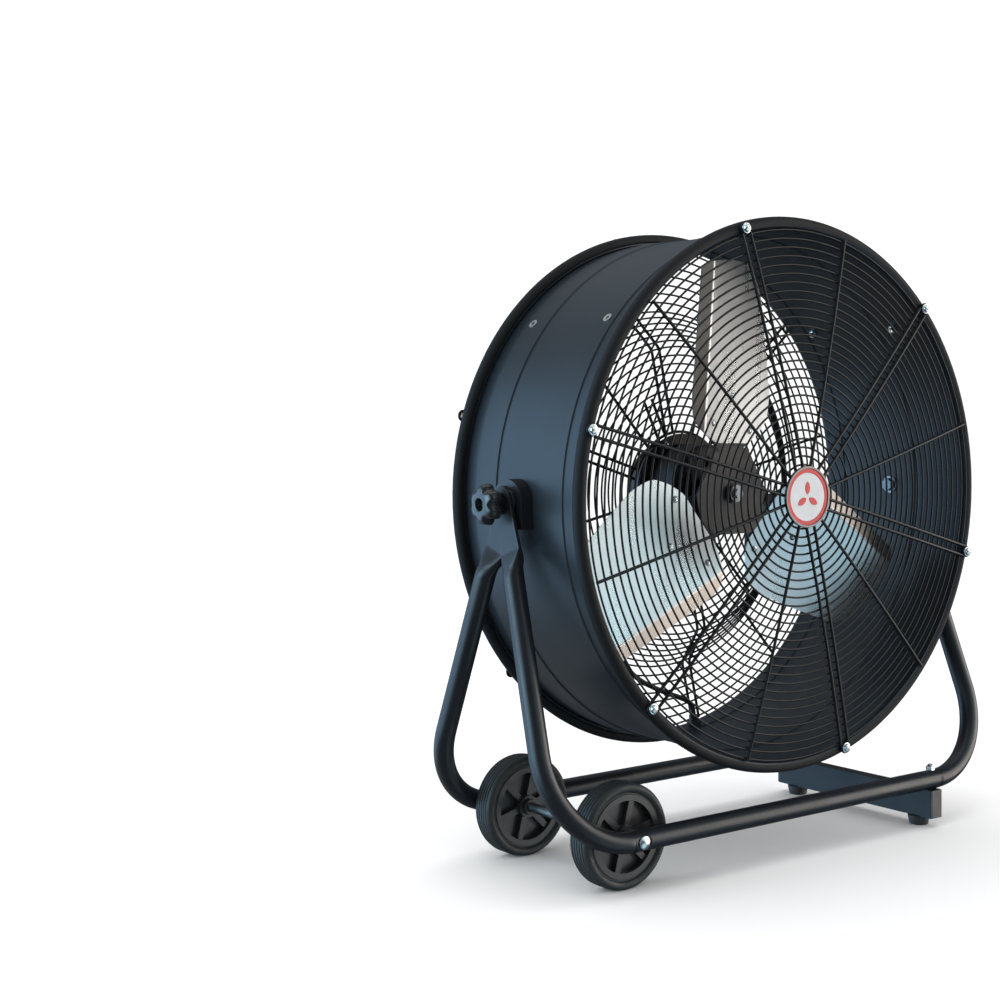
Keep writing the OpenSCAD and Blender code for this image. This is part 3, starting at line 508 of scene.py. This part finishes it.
def dish_y(r):
    """Depth of the rear guard's rings at a radius: flat middle, cone, flat edge."""
    if r <= REAR_FLAT_R:
        return REAR_EDGE_Y - DISH
    if r >= REAR_CONE_R:
        return REAR_EDGE_Y
    return REAR_EDGE_Y - DISH * (REAR_CONE_R - r) / (REAR_CONE_R - REAR_FLAT_R)


def ring(bm, r, y, wire, steps=168, sides=10):
    points = [in_drum(r, 360 * k / steps, y) for k in range(steps)]
    sweep(bm, points, wire / 2, sides, close=True)


def weld_nugget(bm, centre, size):
    """The small squashed swelling where two crossed wires are resistance welded."""
    scale = Matrix.Diagonal((1.25, 0.9, 1.25, 1))
    matrix = Matrix.Translation(centre) @ scale
    bmesh.ops.create_icosphere(bm, subdivisions=1, radius=size, matrix=matrix)


# The rings lie against the spokes and sink into them a little at each weld.
FRONT_DROP = (SPOKE_WIRE + RING_WIRE) / 2 - 0.0002
FRONT_RADII = [OUTER_RING_R - i * RING_PITCH for i in range(RING_COUNT)]
REAR_SEAT = (SPOKE_WIRE - RING_WIRE) / 2
REAR_LIFT = REAR_SEAT + FRONT_DROP
# On the cone, square to the slope, the rings stand this much further forward.
CONE_BACK = 0.0011
REAR_RADII = (
    [REAR_INNER_R + i * REAR_FLAT_PITCH for i in range(1, 11)]
    + [REAR_FLAT_R + i * REAR_CONE_PITCH for i in range(1, 7)]
    + [REAR_EDGE_R + i * REAR_EDGE_PITCH for i in range(7)]
)


def rear_ring_y(r):
    return dish_y(r) + REAR_SEAT - (CONE_BACK if REAR_FLAT_R < r < REAR_CONE_R else 0)


def guard_rings():
    bm = bmesh.new()
    for r in FRONT_RADII:
        ring(bm, r, dome_y(r) + FRONT_DROP, RING_WIRE)
    piece("front_guard_rings_drawn", bm, "drum", PAINTS["guard_paint"], "guard_paint", "front_guard_rings")
    bm = bmesh.new()
    ring(bm, REAR_INNER_R, dish_y(REAR_INNER_R) + REAR_SEAT * 2, SPOKE_WIRE)
    for r in REAR_RADII:
        ring(bm, r, rear_ring_y(r), RING_WIRE)
    piece("rear_guard_rings_drawn", bm, "drum", PAINTS["guard_paint"], "guard_paint", "rear_guard_rings")


def spoke_offsets(phase):
    """Each guard has six double spokes with a single one between: (angle, sideways offset) of every wire."""
    wires = []
    for k in range(6):
        wires += [(phase + 60 * k, -PAIR_HALF), (phase + 60 * k, PAIR_HALF), (phase + 60 * k + 30, 0)]
    return wires


def spoke_point(angle, offset, r, y):
    """A point at distance r along a spoke's own line, which lies offset from the radius."""
    a = math.radians(angle)
    along = Vector((math.cos(a), 0, math.sin(a)))
    across = Vector((-math.sin(a), 0, math.cos(a)))
    return SPIN + along * r + across * offset + Vector((0, y, 0))


def loop_eye(bm, angle, y):
    """The two wires of a double spoke are one wire, bent round the screw."""
    centre = in_drum(RIM_CENTRE_R, angle, y)
    u = (in_drum(1, angle, 0) - SPIN).normalized()
    v = Vector((0, 1, 0)).cross(u)
    sweep(bm, circle_points(centre, u, v, 0.006, 32), EYE_WIRE / 2, 10, close=True)


def front_spokes():
    bm = bmesh.new()
    far = OUTER_RING_R + 0.003
    for angle, offset in spoke_offsets(FRONT_PHASE):
        radii = [lerp(0.022, far, i / 24) for i in range(25)]
        sweep(bm, [spoke_point(angle, offset, r, dome_y(r)) for r in radii], SPOKE_WIRE / 2, 12)
        for r in FRONT_RADII:
            weld_nugget(bm, spoke_point(angle, offset, math.sqrt(r * r - offset ** 2),
                                        dome_y(r) + FRONT_DROP * 0.55), 0.0013)
    for k in range(6):
        loop_eye(bm, FRONT_PHASE + 60 * k, FRONT_SPOKE_Y)
    piece("front_guard_spokes_drawn", bm, "drum", PAINTS["guard_paint"], "guard_paint", "front_guard_spokes")


def rounded_path(corners, bend, steps=5):
    """Straight lengths between corners, with each inner corner bent to a smooth curve."""
    path = [corners[0]]
    for a, b, c in zip(corners, corners[1:], corners[2:]):
        start = b + (a - b).normalized() * bend
        end = b + (c - b).normalized() * bend
        for i in range(steps + 1):
            u = i / steps
            path.append(start * (1 - u) ** 2 + b * 2 * u * (1 - u) + end * u * u)
    path.append(corners[-1])
    return path


def rear_spokes():
    bm = bmesh.new()
    flat = REAR_EDGE_Y - DISH + REAR_LIFT
    edge = REAR_EDGE_Y + REAR_LIFT
    for angle, offset in spoke_offsets(REAR_PHASE):
        profile = [(REAR_INNER_R - 0.001, flat), (REAR_FLAT_R, flat), (REAR_CONE_R, edge),
                   (OUTER_RING_R + 0.003, edge)]
        corners = [spoke_point(angle, offset, r, y) for r, y in profile]
        sweep(bm, rounded_path(corners, 0.006), SPOKE_WIRE / 2, 12)
        for r in REAR_RADII:
            weld_nugget(bm, spoke_point(angle, offset, math.sqrt(r * r - offset ** 2),
                                        rear_ring_y(r) + FRONT_DROP * 0.45), 0.0013)
    for k in range(6):
        loop_eye(bm, REAR_PHASE + 60 * k, edge)
    plate_low, plate_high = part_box("motor_mount_plate")
    mount_y = (plate_low.y + plate_high.y) / 2 - SPIN.y
    plate_r = (plate_high.x - plate_low.x) / 2
    for k in range(4):
        for offset in (-PAIR_HALF, PAIR_HALF):
            ends = [spoke_point(26 + 90 * k, offset, r, mount_y) for r in (plate_r - 0.001, 0.134)]
            sweep(bm, ends, SPOKE_WIRE / 2, 12)
    piece("rear_guard_spokes_drawn", bm, "drum", PAINTS["guard_paint"], "guard_paint", "rear_guard_spokes")


SCREW_HEAD_R = 0.0052
WASHER_R = 0.0066
WASHER_T = 0.0012
RECESS_DEPTH = 0.0014


def screw(bm, seat, out):
    """A pan head screw with a cross recess on a washer. Seat is the middle of the washer's back face."""
    u = out.orthogonal().normalized()
    v = out.cross(u)
    edge = 0.0003
    washer = [(0, SCREW_HEAD_R * 0.6), (0, WASHER_R - edge), (edge, WASHER_R), (WASHER_T - edge, WASHER_R),
              (WASHER_T, WASHER_R - edge), (WASHER_T, SCREW_HEAD_R * 0.6)]
    revolve(bm, washer, seat, out, u, 40, closed_profile=True)
    height = SCREW_HEAD_R * 0.62
    slot_half = SCREW_HEAD_R * 0.14
    slot_reach = SCREW_HEAD_R * 0.55
    steps = 14
    count = 48
    rows = []
    for i in range(steps + 1):
        r = SCREW_HEAD_R * i / steps
        share = r / SCREW_HEAD_R
        top = height * (1 - 0.45 * share ** 2 - 0.55 * smoothstep((share - 0.86) / 0.14))
        row = []
        for k in range(count):
            a = 2 * math.pi * k / count
            x, y = r * math.cos(a), r * math.sin(a)
            arm = min(abs(x), abs(y))
            reach = max(abs(x), abs(y))
            cut = smoothstep((slot_half - arm) / (slot_half * 0.5))
            cut *= smoothstep((slot_reach - reach) / 0.0004)
            row.append(seat + out * (WASHER_T + top - RECESS_DEPTH * cut) + u * x + v * y)
        rows.append(row)
    base = [seat + out * (WASHER_T - 0.0002) + (p - seat) - out * (p - seat).dot(out) for p in rows[-1]]
    centre = bm.verts.new(rows[0][0])
    made = [[bm.verts.new(p) for p in row] for row in rows[1:] + [base]]
    for k in range(count):
        n = (k + 1) % count
        bm.faces.new((centre, made[0][k], made[0][n]))
        for a, b in zip(made, made[1:]):
            bm.faces.new((a[k], b[k], b[n], a[n]))
    bm.faces.new(made[-1])


def guard_screws():
    reach = EYE_WIRE / 2 - 0.0001
    for end, phase, y, out in (
        ("front", FRONT_PHASE, FRONT_SPOKE_Y - reach, Vector((0, -1, 0))),
        ("rear", REAR_PHASE, REAR_EDGE_Y + REAR_LIFT + reach, Vector((0, 1, 0))),
    ):
        bm = bmesh.new()
        for k in range(6):
            screw(bm, in_drum(RIM_CENTRE_R, phase + 60 * k, y), out)
        node = f"{end}_guard_screws"
        piece(node + "_driven", bm, "drum", PAINTS["bright_zinc"], "bright_zinc", node, sharp=50)


# ---- Blades ----

def camber(t):
    """Height of the blade's back face ahead of the hub plane at a distance t from the leaning middle line."""
    def rise(t):
        return t * math.tan(BLADE_PITCH) + 0.6 * t * t - 0.00016

    if t < FOLD_T:
        return rise(t)
    return rise(FOLD_T) - (t - FOLD_T) * 0.09


def leaned(t, r):
    """Distance from the middle line that leans with the fold."""
    return t * math.cos(FOLD_LEAN) + (r - FOLD_R) * math.sin(FOLD_LEAN)


def fold_at(r):
    """Where the fold crosses a radius."""
    return (FOLD_T - (r - FOLD_R) * math.sin(FOLD_LEAN)) / math.cos(FOLD_LEAN)


def rounded_outline(corners, radii, steps=8):
    """A closed outline with each corner cut to an arc that starts and ends at its radius' tangent points."""
    outline = []
    count = len(corners)
    for i, corner in enumerate(corners):
        before = (corners[i - 1] - corner)
        after = (corners[(i + 1) % count] - corner)
        half = before.angle(after) / 2
        cut = radii[i] / math.tan(half)
        cut = min(cut, before.length * 0.48, after.length * 0.48)
        a = corner + before.normalized() * cut
        b = corner + after.normalized() * cut
        for k in range(steps + 1):
            u = k / steps
            outline.append(a * (1 - u) ** 2 + corner * 2 * u * (1 - u) + b * u * u)
    return outline


def resample(points, count, gather=None):
    """Evenly spaced points along an open polyline; gather gives (number, t) of a point that is kept."""
    def run(part, steps):
        lengths = [0.0]
        for a, b in zip(part, part[1:]):
            lengths.append(lengths[-1] + (b - a).length)
        made = []
        j = 0
        for i in range(steps + 1):
            target = lengths[-1] * i / steps
            while j < len(part) - 2 and lengths[j + 1] < target:
                j += 1
            span = max(lengths[j + 1] - lengths[j], 1e-12)
            made.append(part[j].lerp(part[j + 1], (target - lengths[j]) / span))
        return made

    if gather is None:
        return run(points, count)
    split_at, t = gather
    for j, (a, b) in enumerate(zip(points, points[1:])):
        if (a.x - t) * (b.x - t) <= 0 and a.x != b.x:
            middle = a.lerp(b, (t - a.x) / (b.x - a.x))
            first = run(points[: j + 1] + [middle], split_at)
            return first[:-1] + run([middle] + points[j + 1:], count - split_at)
    return run(points, count)


def blade_sides():
    """The blade's outline as four open sides, each from its lower or left end: bottom, right, top, left."""
    mm = 0.001
    corners = [Vector(p) * mm for p in (
        (-38, 64), (38, 66), (66, 78), (84, 96), (85, 125), (67.8, 292.2), (-40, 297.3),
        (-62, 262), (-76, 190), (-85, 128), (-80, 94), (-60, 76),
    )]
    radii = [r * mm for r in (30, 40, 20, 20, 60, 9, 9, 60, 60, 60, 30, 30)]
    outline = rounded_outline(corners, radii)
    steps = 9

    def corner_start(i):
        return i * steps

    top_right_end = corner_start(5) + steps // 2
    top_left_start = corner_start(6) + steps // 2
    arc = []
    right_top, left_top = outline[top_right_end], outline[top_left_start]
    for k in range(1, 24):
        t = lerp(outline[corner_start(6) - 1].x, outline[corner_start(6)].x, k / 24)
        arc.append(Vector((t, math.sqrt(TIP_R ** 2 - t * t))))
    bottom = outline[corner_start(11) + steps // 2:] + outline[: corner_start(3) + 1]
    right = outline[corner_start(3): top_right_end + 1]
    top = outline[top_right_end: corner_start(6)] + arc + outline[corner_start(6): top_left_start + 1]
    left = outline[top_left_start: corner_start(11) + steps // 2 + 1]
    return bottom, right, list(reversed(top)), list(reversed(left))


def blade_grid(columns=64, fold_column=50, rows=96):
    """A grid of (t, radius) points that fills the outline, with one column along the fold."""
    bottom, right, top, left = blade_sides()
    low = resample(bottom, columns, (fold_column, fold_at(0.080)))
    high = resample(top, columns, (fold_column, fold_at(0.293)))
    west = resample(left, rows)
    east = resample(right, rows)
    grid = []
    for j in range(rows + 1):
        v = j / rows
        row = []
        for i in range(columns + 1):
            u = i / columns
            sides = west[j] * (1 - u) + east[j] * u + low[i] * (1 - v) + high[i] * v
            corners = (low[0] * (1 - u) + low[-1] * u) * (1 - v) + (high[0] * (1 - u) + high[-1] * u) * v
            row.append(sides - corners)
        middle, first, last = row[fold_column].x, row[0].x, row[-1].x
        fold = fold_at(row[fold_column].y)
        for i in range(1, columns):
            old = row[i].x
            if i <= fold_column:
                row[i].x = first + (old - first) * (fold - first) / (middle - first)
            else:
                row[i].x = fold + (old - middle) * (last - fold) / (last - middle)
        grid.append(row)
    return grid


def blades():
    grid = blade_grid()
    for number, angle in enumerate(BLADE_ANGLES, 1):
        turn = math.radians(angle - 90)
        up = Vector((-math.sin(turn), 0, math.cos(turn)))
        left = Vector((-math.cos(turn), 0, -math.sin(turn)))
        bm = bmesh.new()
        verts = []
        for row in grid:
            made = []
            for t, r in row:
                ahead = Vector((0, HUB_Y - camber(leaned(t, r)), 0))
                made.append(bm.verts.new(SPIN + up * r + left * t + ahead))
            verts.append(made)
        for a, b in zip(verts, verts[1:]):
            for i in range(len(a) - 1):
                bm.faces.new((a[i], a[i + 1], b[i + 1], b[i]))
        bmesh.ops.recalc_face_normals(bm, faces=bm.faces)
        facing = sum(f.normal.y for f in bm.faces)
        if facing < 0:
            bmesh.ops.reverse_faces(bm, faces=bm.faces)
        mesh = bpy.data.meshes.new(f"blade_{number}_rolled")
        bm.to_mesh(mesh)
        bm.free()
        for face in mesh.polygons:
            face.use_smooth = True
        obj = bpy.data.objects.new(mesh.name, mesh)
        bpy.context.scene.collection.objects.link(obj)
        mesh.materials.append(BLADE_PAINTS[angle])
        modifier(obj, "SOLIDIFY", thickness=BLADE_SHEET, offset=-1, use_even_offset=True)
        modifier(obj, "BEVEL", width=0.0005, segments=2, limit_method="ANGLE",
                 angle_limit=math.radians(60), harden_normals=True)
        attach(obj, "impeller")
        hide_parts(f"blade_{number}")


# ---- Stand ----

def u_path():
    """The U's measures: lean of its plane, depth below the pivot, splay of a leg, where the bend ends."""
    drop = TILT.z - WHEEL.z
    slope = math.atan(BASE_HALF / drop)
    leg_drop = drop / math.cos(slope)
    splay = math.atan((CORNER_X - PIVOT_X) / leg_drop)
    bend_x = CORNER_X - BEND_R * (1 + math.sin(splay)) / math.cos(splay)
    return slope, leg_drop, splay, bend_x


def section(half_x, half_y, power, sides=64):
    """A rounded section between an ellipse (power 2) and a rectangle (a high power)."""
    points = []
    for k in range(sides):
        a = 2 * math.pi * (k + 0.5) / sides
        c, s = math.cos(a), math.sin(a)
        points.append((half_x * math.copysign(abs(c) ** (2 / power), c),
                       half_y * math.copysign(abs(s) ** (2 / power), s)))
    return points


def leg_stations(side, splay):
    """The flattened end and the leg's top: (distance below the pivot, middle x, half x, half y, power)."""
    strip_x = PIVOT_X - side * STRIP / 2
    stations = []
    top = STRIP_W / 2
    # Narrow is what each side of the strip loses towards its rounded top end.
    for below, narrow in ((-top, 0.0072), (-top + 0.0006, 0.0066), (-top + 0.010, 0.0), (0, 0), (0.02, 0),
                          (STRIP_END - 0.006, 0), (STRIP_END - 0.0015, 0)):
        half_x = STRIP / 2 - (0.0005 if below == -top else 0)
        stations.append((below, strip_x, half_x, STRIP_W / 2 - narrow, 9))
    stations.append((STRIP_END, strip_x, STRIP / 2 + 0.0001, STRIP_W / 2, 7))
    steps = 16
    for i in range(1, steps + 1):
        u = i / steps
        swell = 1 - (1 - u) ** 1.8
        below = lerp(STRIP_END, ROUND_START, u)
        leg_x = PIVOT_X + below * math.tan(splay)
        half_x = lerp(STRIP / 2, TUBE_R, swell)
        half_y = lerp(STRIP_W / 2, TUBE_R, smoothstep(u) * 0.6 + swell * 0.4)
        power = lerp(6, 2, min(1, 1.6 * u))
        stations.append((below, lerp(strip_x, leg_x, smoothstep(u)), half_x, half_y, power))
    return stations


def frame_tube(node, side):
    slope, leg_drop, splay, bend_x = u_path()
    tilt = Matrix.Rotation(side * slope, 4, "X")
    rings = []

    def add_ring(centre_x, centre_z, lean, outline):
        """Lean is the turn of the slice's outward direction, from +X."""
        out = Vector((math.cos(lean), 0, math.sin(lean)))
        rings.append([Vector((centre_x, 0, centre_z)) + out * a + Vector((0, b, 0)) for a, b in outline])

    for below, x, half_x, half_y, power in leg_stations(side, splay):
        lean = -splay * smoothstep((below - STRIP_END) / (ROUND_START - STRIP_END))
        add_ring(x, -below, lean, section(half_x, half_y, power))
    circle = section(TUBE_R, TUBE_R, 2)
    foot_z = BEND_R - leg_drop + BEND_R * math.sin(splay)
    foot_x = bend_x + BEND_R * math.cos(splay)
    start_z = -ROUND_START
    start_x = PIVOT_X + ROUND_START * math.tan(splay)
    for i in range(1, 9):
        u = i / 9
        add_ring(lerp(start_x, foot_x, u), lerp(start_z, foot_z, u), -splay, circle)
    turn = math.pi / 2 + splay
    bend_steps = 28
    for i in range(bend_steps + 1):
        a = splay - turn * i / bend_steps
        x = bend_x + BEND_R * math.cos(a)
        z = BEND_R - leg_drop + BEND_R * math.sin(a)
        add_ring(x, z, a, circle)
    around_axle = [0.013 - 0.0013 * i - WHEEL.x for i in range(21)]
    for x in around_axle + [0.16, 0.08]:
        add_ring(x, -leg_drop, -math.pi / 2, circle)
    half = len(rings)
    middle = [[Vector((0, p.y, p.z)) for p in rings[-1]]]
    mirrored = [[Vector((-p.x, p.y, p.z)) for p in rings[i]] for i in range(half - 1, -1, -1)]
    pivot = Vector((0, STAND_Y, TILT.z))
    world = [[tilt @ p + pivot for p in outline] for outline in rings + middle + mirrored]
    axle_face = BASE_HALF + TUBE_R - 0.002
    face_r = 0.0085
    face_blend = 0.003
    for outline in world:
        for p in outline:
            off = math.hypot(p.x - WHEEL.x, p.z - WHEEL.z)
            out = (p.y - STAND_Y) * side
            if off < face_r + face_blend and out > 0:
                seat = axle_face + 0.003 * smoothstep((off - face_r) / face_blend)
                p.y = STAND_Y + side * min(out, seat)
    bm = bmesh.new()
    skin(bm, world)
    piece(node + "_bent", bm, "stand", PAINTS["frame_paint"], "frame_paint", node, sharp=32)


# ---- Knobs ----

def knob_profile(back, front, radius):
    """From the neck's back to the recess: (distance along the axis, radius, share of the lobes' depth)."""
    neck_r, recess_r, domed = 0.013, 0.0072, 0.0075
    shoulder = back + 0.012
    profile = [
        (back, recess_r, 0.0), (back, neck_r - 0.0008, 0.0), (back + 0.0008, neck_r, 0.0),
        (shoulder - 0.0015, neck_r, 0.0), (shoulder, neck_r + 0.0012, 0.0), (shoulder, radius * 0.75, 0.75),
    ]
    rim = []
    rear_round = 0.003
    for k in range(7):
        a = math.pi / 2 * k / 6
        rim.append((shoulder + rear_round * (1 - math.cos(a)), radius - rear_round * (1 - math.sin(a))))
    for k in range(1, 15):
        a = math.pi / 2 * k / 14
        reach = lerp(radius - 0.001, recess_r + 0.003, 1 - math.cos(a))
        rim.append((front - domed * (1 - math.sin(a)), reach))
    for along, r in rim:
        profile.append((along, r, smoothstep((r - neck_r) / (radius - neck_r) * 1.15)))
    recess = [
        (0.0, 0.0020), (0.0003, 0.0009), (0.0010, 0.0002), (0.0016, 0.0), (0.0095, -0.0003), (0.0100, -0.001),
    ]
    for depth, wider in recess:
        r = recess_r + wider
        profile.append((front - depth, r, smoothstep((r - recess_r) / (radius - recess_r)) * 0.9))
    return profile


def lobe_cut(a):
    """How deep the scallops between the six lobes cut at an angle."""
    half_width = 0.40
    nearest = math.pi / 6 - abs((a + math.pi / 6) % (math.pi / 3) - math.pi / 6)
    if nearest > half_width:
        return 0.0
    return 0.0045 * (0.5 + 0.5 * math.cos(math.pi * nearest / half_width))


def clamp_knob(node, body, side):
    """Six-lobed clamping knob: neck, rounded lobes, a round recess over the brass insert."""
    low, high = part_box(node)
    back = min(abs(low.x), abs(high.x))
    front = max(abs(low.x), abs(high.x))
    profile = knob_profile(back, front, (high.z - low.z) / 2)
    count = 144
    turns = [2 * math.pi * k / count for k in range(count)]
    bm = bmesh.new()
    rows = []
    for along, r, share in profile:
        row = []
        for a in turns:
            reach = max(0.0, r - lobe_cut(a) * share)
            point = Vector((side * along, TILT.y + reach * math.sin(a), TILT.z + reach * math.cos(a)))
            row.append(bm.verts.new(point))
        rows.append(row)
    centre = bm.verts.new(Vector((side * profile[-1][0], TILT.y, TILT.z)))
    for a, b in zip(rows, rows[1:]):
        for k in range(count):
            n = (k + 1) % count
            bm.faces.new((a[k], a[n], b[n], b[k]))
    for k in range(count):
        bm.faces.new((rows[-1][k], rows[-1][(k + 1) % count], centre))
    bm.faces.new(rows[0])
    piece(node + "_moulded", bm, body, PAINTS["knob_plastic"], "knob_plastic", node, sharp=60)


# ---- Lead ----

def motor_lead():
    """The lead from the motor case, tied to the rear guard, to the gland in the barrel's wall."""
    mm = 0.001
    route = [
        (-46, 46, -46), (-58, 46, -58), (-74, 50, -74), (-92, 59, -92), (-107, 69, -114),
        (-117, 76, -139), (-121, 78, -165), (-117, 81, -190), (-105, 87, -213), (-86, 94, -234),
        (-62, 98, -252), (-36, 100, -265), (-10, 101, -276), (12, 102, -284), (25, 102.2, -289.5),
        (31.5, 102.2, -294), (35.8, 102.2, -300), (37.7, 102.2, -307), (39.3, 102.2, -320),
    ]
    points = [SPIN + Vector(p) * mm for p in route]
    smooth = []
    for i in range(len(points) - 1):
        p0, p1, p2, p3 = (points[max(0, min(len(points) - 1, i + k))] for k in (-1, 0, 1, 2))
        for k in range(5):
            u = k / 5
            smooth.append(0.5 * (2 * p1 + (p2 - p0) * u + (2 * p0 - 5 * p1 + 4 * p2 - p3) * u * u
                                 + (3 * p1 - p0 - 3 * p2 + p3) * u ** 3))
    smooth.append(points[-1])
    bm = bmesh.new()
    sweep(bm, smooth, 0.0035, 20)
    piece("motor_lead_drawn", bm, "drum", PAINTS["lead_jacket"], "lead_jacket", "motor_lead")


guard_rings()
front_spokes()
rear_spokes()
guard_screws()
blades()
frame_tube("front_frame_tube", -1)
frame_tube("rear_frame_tube", 1)
clamp_knob("left_knob", "left_clamp", -1)
clamp_knob("right_knob", "right_clamp", 1)
motor_lead()

# How wide the edges of each piece that keeps the CAD's shape are rounded.
FINISHED = {
    "pivot_bosses": 0.0012, "foot_beam": 0.0010, "beam_end_caps": 0.0012, "rubber_feet": 0.0010,
    "beam_bolts": 0.0003, "beam_cap_nuts": 0.0003, "axle_end_bolts": 0.0003, "axle_collars": 0.0005,
    "front_wheel_hub": 0.0007, "rear_wheel_hub": 0.0007,
    "front_wheel_tyre": 0.0003, "rear_wheel_tyre": 0.0003,
    "badge_bezel": 0.0005, "badge_ring": 0.0003, "badge_face": 0.0003, "badge_mark": 0.0003,
    "motor_case": 0.0008, "motor_front_bell": 0.0008, "motor_rear_cap": 0.0008, "motor_mount_plate": 0.0004,
    "motor_mount_bolts": 0.0003, "hub_spider": 0.0006, "hub_bushing": 0.0004, "hub_bolt": 0.0003,
    "speed_knob": 0.0006, "lead_gland": 0.0005, "guard_strap": 0.0003, "pivot_bolts": 0.0003,
    "rivet_nuts": 0.0003,
}
for node_name, edge_width in FINISHED.items():
    finished(node_name, edge_width)


# ---- Camera, floor and light ----

def photo_camera():
    """A camera in front of the fan and to its left, a little above the middle of its height."""
    azimuth, elevation, roll = (math.radians(a) for a in (-35.74, 3.04, -0.59))
    right = Vector((math.cos(azimuth), math.sin(azimuth), 0))
    back = Vector((math.sin(azimuth) * math.cos(elevation), -math.cos(azimuth) * math.cos(elevation),
                   math.sin(elevation)))
    up = back.cross(right)
    turned_right = right * math.cos(roll) + up * math.sin(roll)
    turned_up = up * math.cos(roll) - right * math.sin(roll)
    data = bpy.data.cameras.new("camera")
    data.lens = 58.91
    data.sensor_width = 36
    camera = bpy.data.objects.new("camera", data)
    bpy.context.scene.collection.objects.link(camera)
    axes = Matrix((turned_right, turned_up, back)).transposed().to_4x4()
    camera.matrix_world = Matrix.Translation((-1.483, -1.561, 0.562)) @ axes
    bpy.context.scene.camera = camera


def floor():
    bm = bmesh.new()
    bmesh.ops.create_grid(bm, x_segments=2, y_segments=2, size=40)
    mesh = bpy.data.meshes.new("floor")
    bm.to_mesh(mesh)
    bm.free()
    obj = bpy.data.objects.new("floor", mesh)
    bpy.context.scene.collection.objects.link(obj)
    paint = Paint("pale_floor", (0.92, 0.92, 0.92), 1.0, specular=0.0)
    mesh.materials.append(paint.material)
    obj.visible_glossy = False


def softbox(name, place, target, size, power, colour=(1, 1, 1)):
    data = bpy.data.lights.new(name, "AREA")
    data.shape = "RECTANGLE"
    data.size, data.size_y = size
    data.energy = power
    data.color = colour
    obj = bpy.data.objects.new(name, data)
    bpy.context.scene.collection.objects.link(obj)
    aim = (Vector(target) - Vector(place)).to_track_quat("-Z", "Y")
    obj.matrix_world = Matrix.Translation(place) @ aim.to_matrix().to_4x4()


class Surroundings:
    """What shiny surfaces mirror: a dim room with broad soft glows in it, each round a direction."""

    def __init__(self, tree, room):
        self.tree = tree
        self.coords = tree.nodes.new("ShaderNodeTexCoord")
        base = tree.nodes.new("ShaderNodeCombineXYZ")
        for socket, value in zip(base.inputs, room):
            socket.default_value = value
        self.total = base.outputs["Vector"]

    def glow(self, direction, inner, outer, colour):
        """A glow that is full within the inner angle and gone at the outer one, in degrees."""
        dot = self.tree.nodes.new("ShaderNodeVectorMath")
        dot.operation = "DOT_PRODUCT"
        dot.inputs[1].default_value = Vector(direction).normalized()
        self.tree.links.new(self.coords.outputs["Generated"], dot.inputs[0])
        share = self.tree.nodes.new("ShaderNodeMapRange")
        share.interpolation_type = "SMOOTHSTEP"
        share.inputs["From Min"].default_value = math.cos(math.radians(outer))
        share.inputs["From Max"].default_value = math.cos(math.radians(inner))
        self.tree.links.new(dot.outputs["Value"], share.inputs["Value"])
        lit = self.tree.nodes.new("ShaderNodeVectorMath")
        lit.operation = "SCALE"
        lit.inputs[0].default_value = colour
        self.tree.links.new(share.outputs["Result"], lit.inputs["Scale"])
        added = self.tree.nodes.new("ShaderNodeVectorMath")
        added.operation = "ADD"
        self.tree.links.new(self.total, added.inputs[0])
        self.tree.links.new(lit.outputs["Vector"], added.inputs[1])
        self.total = added.outputs["Vector"]


# Direction, inner and outer angle, colour. The first two are cool windows at the left, and the next two are
# the ceiling and the floor behind. The last three light the blades from the front.
GLOWS = (
    ((-0.62, 0.76, 0.0), 6, 42, (1.0, 1.75, 2.6)),
    ((-0.98, 0.15, 0.12), 8, 34, (2.2, 3.7, 4.6)),
    ((-0.1, 0.5, 0.86), 20, 60, (0.22, 0.23, 0.24)),
    ((-0.3, 0.75, -0.6), 15, 45, (0.22, 0.22, 0.20)),
    ((0.86, -0.50, 0.08), 16, 29, (4.9, 4.55, 4.2)),
    ((0.33, -0.80, 0.52), 13, 27, (0.85, 1.2, 1.28)),
    ((0.36, -0.78, -0.53), 12, 26, (0.50, 0.80, 0.94)),
)


def studio():
    """An even white dome, which shiny surfaces see as a dim room with soft glows, and two soft panels."""
    world = bpy.data.worlds.new("studio")
    bpy.context.scene.world = world
    world.use_nodes = True
    tree = world.node_tree
    dome = tree.nodes["Background"]
    dome.inputs["Color"].default_value = (1, 1, 1, 1)
    dome.inputs["Strength"].default_value = 1.14
    mirrored = tree.nodes.new("ShaderNodeBackground")
    seen = tree.nodes.new("ShaderNodeLightPath")
    mix = tree.nodes.new("ShaderNodeMixShader")
    tree.links.new(seen.outputs["Is Glossy Ray"], mix.inputs["Fac"])
    tree.links.new(dome.outputs["Background"], mix.inputs[1])
    tree.links.new(mirrored.outputs["Background"], mix.inputs[2])
    tree.links.new(mix.outputs["Shader"], tree.nodes["World Output"].inputs["Surface"])
    around = Surroundings(tree, (0.10, 0.12, 0.15))
    for glow in GLOWS:
        around.glow(*glow)
    tree.links.new(around.total, mirrored.inputs["Color"])
    softbox("window_panel", (-3.0, 0.9, 1.3), (0, 0, 0.45), (1.6, 2.0), 22, (0.72, 0.90, 1.0))
    softbox("top_panel", (0, 0.6, 4.2), (0, 0, 0), (4.5, 4.5), 46)
    bpy.context.scene.view_settings.view_transform = "Standard"


photo_camera()
floor()
studio()
